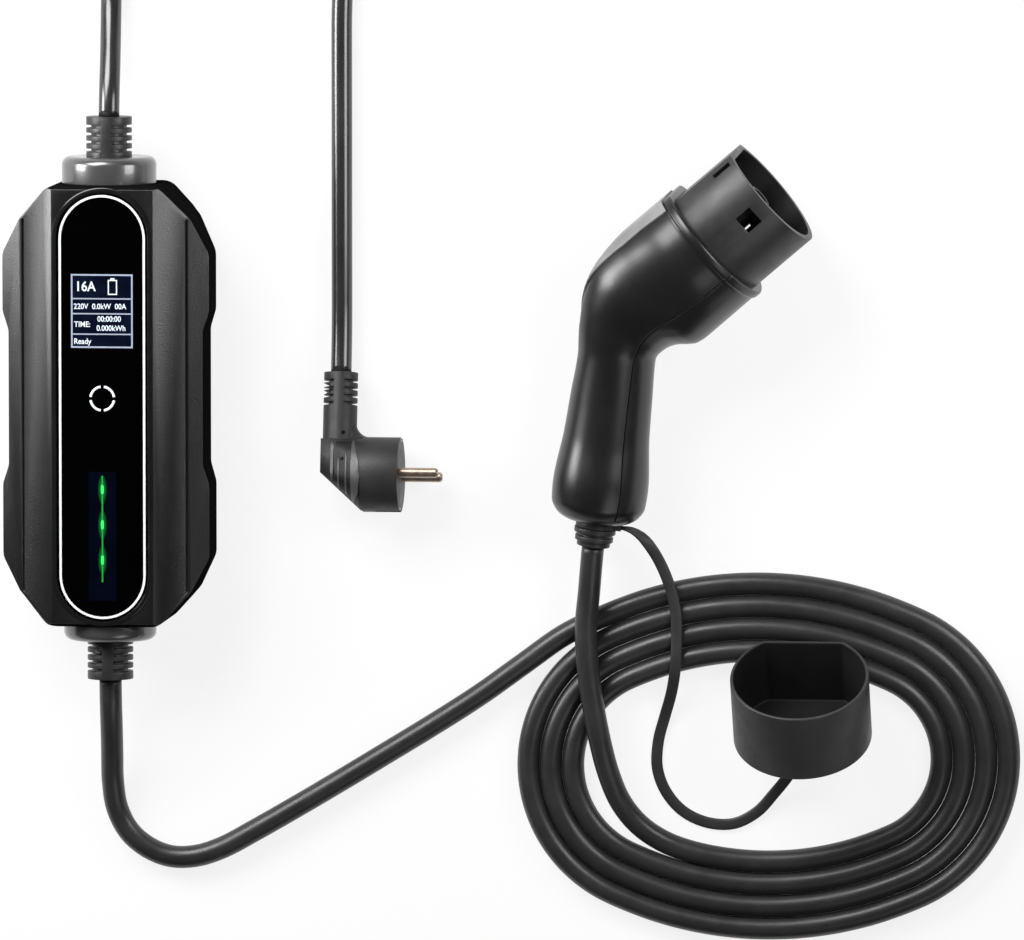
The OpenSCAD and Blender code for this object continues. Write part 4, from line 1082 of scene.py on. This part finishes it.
class CHARGER_OT_gun_nose(bpy.types.Operator):
    """Finishes the nose, the contact carrier and the contacts."""
    bl_idname = "charger.gun_nose"
    bl_label = "Gun nose"

    CUT_RUN = (11, 28)
    SLOT_EDGES = (17, 27)
    WINDOW_SHIFTS, SLOT_SHIFT = (7.5, -9.0), 5.5
    TOWER_FRONT = 20

    def execute(self, context):
        matt = moulded("nose plastic", (0.018, 0.018, 0.0182), 0.4, 1300.0, 0.05 * MM)
        # dark is the carrier's and the towers' own colour, and on the inside of the nose it is painted shade
        # in the mouth.
        dark = moulded("carrier plastic and mouth shade", (0.003, 0.003, 0.003), 0.5, 1300.0, 0.03 * MM, specular=0.2)
        # pale is a painted highlight: the fronts of the contact towers are drawn lighter than their dark
        # moulding.
        pale = moulded("tower rim highlight", (0.09, 0.09, 0.09), 0.45, 1300.0, 0.03 * MM)
        silver = metal("silver plate", (0.75, 0.73, 0.68), 0.25)
        dressed_node(
            "nose_shroud", "nose_moulding", "nose", matt, 0.5 * MM,
            reshape=self.move_cuts, second=dark, chosen=self.shaded_nose_inside)
        dressed_node("contact_carrier", "carrier_plate", "nose", dark, 0.3 * MM)
        dressed_node(
            "contact_sleeves", "contact_towers", "nose", dark, 0.35 * MM, second=pale, chosen=self.highlighted_tower_rim)
        for node in ("power_contacts", "signal_contacts"):
            dressed_node(node, node + "_turned", "contact", silver, 0.2 * MM)
        return {"FINISHED"}

    def move_cuts(self, bm):
        """Moves the upper lock window and slot toward the mouth, the lower window behind the towers."""
        for v in bm.verts:
            p = gun_local(v.co)
            if not self.CUT_RUN[0] < p.x < self.CUT_RUN[1]:
                continue
            slot = min(abs(p.x - x) for x in self.SLOT_EDGES) < 0.2
            upper, lower = (self.SLOT_SHIFT, 0.0) if slot else self.WINDOW_SHIFTS
            v.co = gun_point(p + Vector((upper if p.z > 0 else lower, 0, 0)))

    # Faces of the nose that look toward its axis; they get the dark plastic as painted shade inside the
    # mouth.
    def shaded_nose_inside(self, centre, normal):
        centre, normal = gun_local(centre), GUN_TURN.transposed() @ normal
        return normal.dot(Vector((0, centre.y, centre.z)).normalized()) < -0.6

    # Fronts of the towers toward the mouth; they get the pale grey as painted highlight.
    def highlighted_tower_rim(self, centre, normal):
        return (GUN_TURN.transposed() @ normal).x > 0.6 and gun_local(centre).x > self.TOWER_FRONT


class CHARGER_OT_cap(bpy.types.Operator):
    """Finishes the rubber cap and the ring of its strap; the cap's inside gets a darker rubber as painted
    shade.
    """
    bl_idname = "charger.cap"
    bl_label = "Cap"

    def execute(self, context):
        rubber = moulded("cap rubber", (0.024, 0.024, 0.024), 0.5, 700.0, 0.06 * MM)
        # Painted shade: the cup is one rubber moulding, drawn darker where it faces its axis and on its
        # floor.
        inner = moulded("cap inside painted shade", (0.007, 0.007, 0.007), 0.6, 700.0, 0.05 * MM, specular=0.25)
        dressed_node("cap_cup", "cap_moulding", "cap", rubber, 0.9 * MM, 4, second=inner, chosen=self.inside)
        dressed_node("strap_ring", "strap_ring_moulding", "cap", rubber, 0.4 * MM)
        return {"FINISHED"}

    def inside(self, centre, normal):
        """Faces that look at the cap's axis, and its floor, which are darkened as painted shade."""
        place = centre / MM - CAP_MIDDLE
        depth = place.dot(CAP_AXIS)
        across = place - depth * CAP_AXIS
        floor = normal.dot(CAP_AXIS) > 0.7 and depth < 10
        return floor or normal.dot(across.normalized()) < -0.3


class CHARGER_OT_plug(bpy.types.Operator):
    """Makes the mains plug with the ridges, the panel and two dark spots on its side: the ridges are paler as
    painted highlight, the spots are painted shade for two holes.
    """
    bl_idname = "charger.plug"
    bl_label = "Mains plug"

    RIDGES = (
        (0.6, ((-17.2, 117.4, 118.2), (-22, 117.4, 120.0), (-28, 117.4, 121.6), (-34, 117.4, 122.0),
               (-38, 117.4, 121.4), (-42, 117.4, 121.0), (-47, 117.4, 118.2))),
        (0.45, ((-17.5, 107.4, 108.2), (-19, 107.0, 108.6), (-32, 107.0, 108.6), (-36, 107.4, 108.2))),
        (0.4, ((-25, 111.0, 111.2), (-28, 110.7, 111.6), (-40, 110.7, 111.6))),
        (0.4, ((-22, 114.7, 114.9), (-25, 114.5, 115.4), (-43, 114.5, 115.4))),
    )
    PANEL = ((0.12, ((-17.5, 109.4, 117.3), (-37, 109.4, 117.3), (-44.5, 116.9, 117.3))),)
    # Centres of two spots of painted shade that stand for holes in the plug's side, and their radius.
    HOLE_SHADE_SPOTS = ((112.6, -13.4), (113.0, -25.4))
    HOLE_SHADE_R = 0.9
    FILLET_R, FILLET_H = 6.5, 6.2
    SHEET_SINK, SHEET_CROWN = 0.4, 1.15
    OVERLAP, THIN_R = 1.5, 0.05

    def execute(self, context):
        black = moulded("plug plastic", (0.016, 0.016, 0.0162), 0.5, 800.0, 0.06 * MM, specular=0.4)
        # Painted highlight: the ridges are moulded in the plug's black plastic and are drawn paler.
        pale = moulded("plug ridge highlight", (0.05, 0.05, 0.05), 0.4, 800.0, 0.04 * MM)
        deep = moulded("plug panel", (0.007, 0.007, 0.007), 0.5, 800.0, 0.04 * MM, specular=0.3)
        # Near-black spots: painted shade for the plug's two holes.
        hole_shade = moulded("plug hole shade", (0.001, 0.001, 0.001), 0.6, 800.0, 0.01 * MM, specular=0.1)
        nickel = metal("nickel plate", (0.5, 0.4, 0.32), 0.38, 300.0)
        self.surface = BVHTree.FromBMesh(node_bmesh("plug_body"))
        dressed_node("plug_body", "plug_moulding", "plug", black, 0.5 * MM)
        turns = [math.radians(a) for a in range(-80, 81, 20)]
        dots = [(0.2, [
            (y - self.HOLE_SHADE_R * math.sin(a), x - self.HOLE_SHADE_R * math.cos(a), x + self.HOLE_SHADE_R * math.cos(a))
            for a in turns]) for x, y in self.HOLE_SHADE_SPOTS]
        for name, shapes, material in (
                ("plug_ridges", self.RIDGES, pale), ("plug_panel", self.PANEL, deep),
                ("plug_hole_shade", dots, hole_shade)):
            bm = bmesh.new()
            for lift, rows in shapes:
                self.drape(bm, rows, lift)
            piece = from_bmesh(name, bm)
            piece.data.set_sharp_from_angle(angle=math.radians(50))
            finish_piece(piece, material, "plug")
        finish_piece(self.fillet(), black, "plug")
        paint(NODES["plug_pins"], nickel)
        paint(NODES["plug_earth_strips"], nickel)
        return {"FINISHED"}

    def drape(self, bm, rows, lift, across=6, step=1.5):
        """Adds a thin sheet that lies on the plug; rows list a place along Y and two places along X."""
        fine = []
        for a, b in zip(rows, rows[1:]):
            count = max(1, math.ceil(abs(b[0] - a[0]) / step))
            fine += [[p + (q - p) * i / count for p, q in zip(a, b)] for i in range(count)]
        fine.append(list(rows[-1]))
        layers = []
        for height in (lift, -self.SHEET_SINK):
            grid = []
            for y, left, right in fine:
                row = []
                for i in range(across + 1):
                    top = Vector((left + (right - left) * i / across, y, 200)) * MM
                    hit = self.surface.ray_cast(top, Vector((0, 0, -1)))[0]
                    rise = height if i in (0, across) or height < 0 else height * self.SHEET_CROWN
                    row.append(bm.verts.new(hit + Vector((0, 0, rise * MM))))
                grid.append(row)
            layers.append(grid)
        for grid in layers:
            for a, b in zip(grid, grid[1:]):
                for i in range(across):
                    bm.faces.new((a[i], a[i + 1], b[i + 1], b[i]))
        join_rings(bm, [
            grid[0] + [row[-1] for row in grid[1:]] + grid[-1][-2::-1] + [row[0] for row in grid[-2:0:-1]]
            for grid in layers])

    def fillet(self, slices=8, steps=10):
        """The rounded inner corner between the plug's arm and its round body."""
        drop = PLUG_R * math.sin(PLUG_TILT)
        bm = bmesh.new()
        rings = []
        for k in range(slices + 1):
            h = self.FILLET_H * (2 * k / slices - 1)
            radius = self.FILLET_R * (1 - (h / self.FILLET_H) ** 2) + self.THIN_R
            x = PLUG_PLACE.x - PLUG_ARM[0] + math.sqrt(PLUG_ARM_R ** 2 - h * h)
            y = PLUG_PLACE.y + math.sqrt(PLUG_R ** 2 - (h - drop) ** 2)
            turns = [math.pi + math.pi / 2 * i / steps for i in range(steps + 1)]
            outline = [(x - self.OVERLAP, y - self.OVERLAP), (x - self.OVERLAP, y + radius)]
            outline += [(x + radius * (1 + math.cos(a)), y + radius * (1 + math.sin(a))) for a in turns]
            outline.append((x + radius, y - self.OVERLAP))
            rings.append([bm.verts.new(Vector((px, py, PLUG_R - drop + h)) * MM) for px, py in outline])
        bm.faces.new(rings[0])
        bm.faces.new(rings[-1])
        join_rings(bm, rings)
        corner = from_bmesh("plug_fillet", bm)
        corner.data.set_sharp_from_angle(angle=math.radians(50))
        return corner


class CHARGER_OT_inside(bpy.types.Operator):
    """Gives the pieces inside the box their finishes."""
    bl_idname = "charger.inside"
    bl_label = "Inner pieces"

    def execute(self, context):
        steel = metal("zinc plate", (0.6, 0.6, 0.58), 0.35)
        finishes = {
            "shell_seal": moulded("seal rubber", (0.03, 0.03, 0.03), 0.6, 900.0, 0.03 * MM),
            "shell_screws": steel,
            "board_screws": steel,
            "display_module": moulded("module case", (0.05, 0.05, 0.06), 0.4, 600.0, 0.02 * MM),
            "light_guide": moulded("light guide", (0.2, 0.7, 0.3), 0.2, 600.0, 0.01 * MM),
            "circuit_board": moulded("board lacquer", (0.01, 0.12, 0.05), 0.3, 500.0, 0.02 * MM),
            "relay": moulded("relay case", (0.02, 0.02, 0.025), 0.35, 600.0, 0.02 * MM),
            "mains_choke": metal("enamelled copper", (0.6, 0.25, 0.1), 0.3, 300.0),
            "supply_transformer": moulded("winding tape", (0.6, 0.45, 0.05), 0.5, 400.0, 0.05 * MM),
            "capacitors": moulded("capacitor sleeve", (0.03, 0.04, 0.15), 0.3, 400.0, 0.02 * MM),
            "terminal_block": moulded("terminal plastic", (0.03, 0.25, 0.12), 0.4, 600.0, 0.03 * MM),
        }
        for node, material in finishes.items():
            paint(NODES[node], material)
        return {"FINISHED"}


CLASSES = (
    CaseSettings, LeadSettings, GunSettings, StageSettings,
    CHARGER_OT_stage, CHARGER_OT_leads, CHARGER_OT_case, CHARGER_OT_front_panel, CHARGER_OT_screen,
    CHARGER_OT_touch_ring, CHARGER_OT_charge_light, CHARGER_OT_glands, CHARGER_OT_gun_body,
    CHARGER_OT_gun_nose, CHARGER_OT_cap, CHARGER_OT_plug, CHARGER_OT_inside,
)
SETTINGS = {
    "charger_case": CaseSettings,
    "charger_leads": LeadSettings,
    "charger_gun": GunSettings,
    "charger_stage": StageSettings,
}


class CHARGER_PT_panel(bpy.types.Panel):
    """Lists the steps that dress the charging set."""
    bl_idname = "CHARGER_PT_panel"
    bl_label = "Charging Set"
    bl_space_type = "VIEW_3D"
    bl_region_type = "UI"
    bl_category = "Charging Set"

    def draw(self, context):
        for step in CLASSES:
            if issubclass(step, bpy.types.Operator):
                self.layout.operator(step.bl_idname)


def register():
    for item in (*CLASSES, CHARGER_PT_panel):
        bpy.utils.register_class(item)
    for name, group in SETTINGS.items():
        setattr(bpy.types.Scene, name, bpy.props.PointerProperty(type=group))


def unregister():
    for name in SETTINGS:
        delattr(bpy.types.Scene, name)
    for item in reversed((*CLASSES, CHARGER_PT_panel)):
        bpy.utils.unregister_class(item)


def main():
    register()
    bpy.ops.charger.stage()
    bpy.ops.charger.plug()
    bpy.ops.charger.leads()
    bpy.ops.charger.case()
    bpy.ops.charger.front_panel()
    bpy.ops.charger.screen()
    bpy.ops.charger.touch_ring()
    bpy.ops.charger.charge_light()
    bpy.ops.charger.glands()
    bpy.ops.charger.gun_body()
    bpy.ops.charger.gun_nose()
    bpy.ops.charger.cap()
    bpy.ops.charger.inside()


if __name__ == "__main__":
    main()
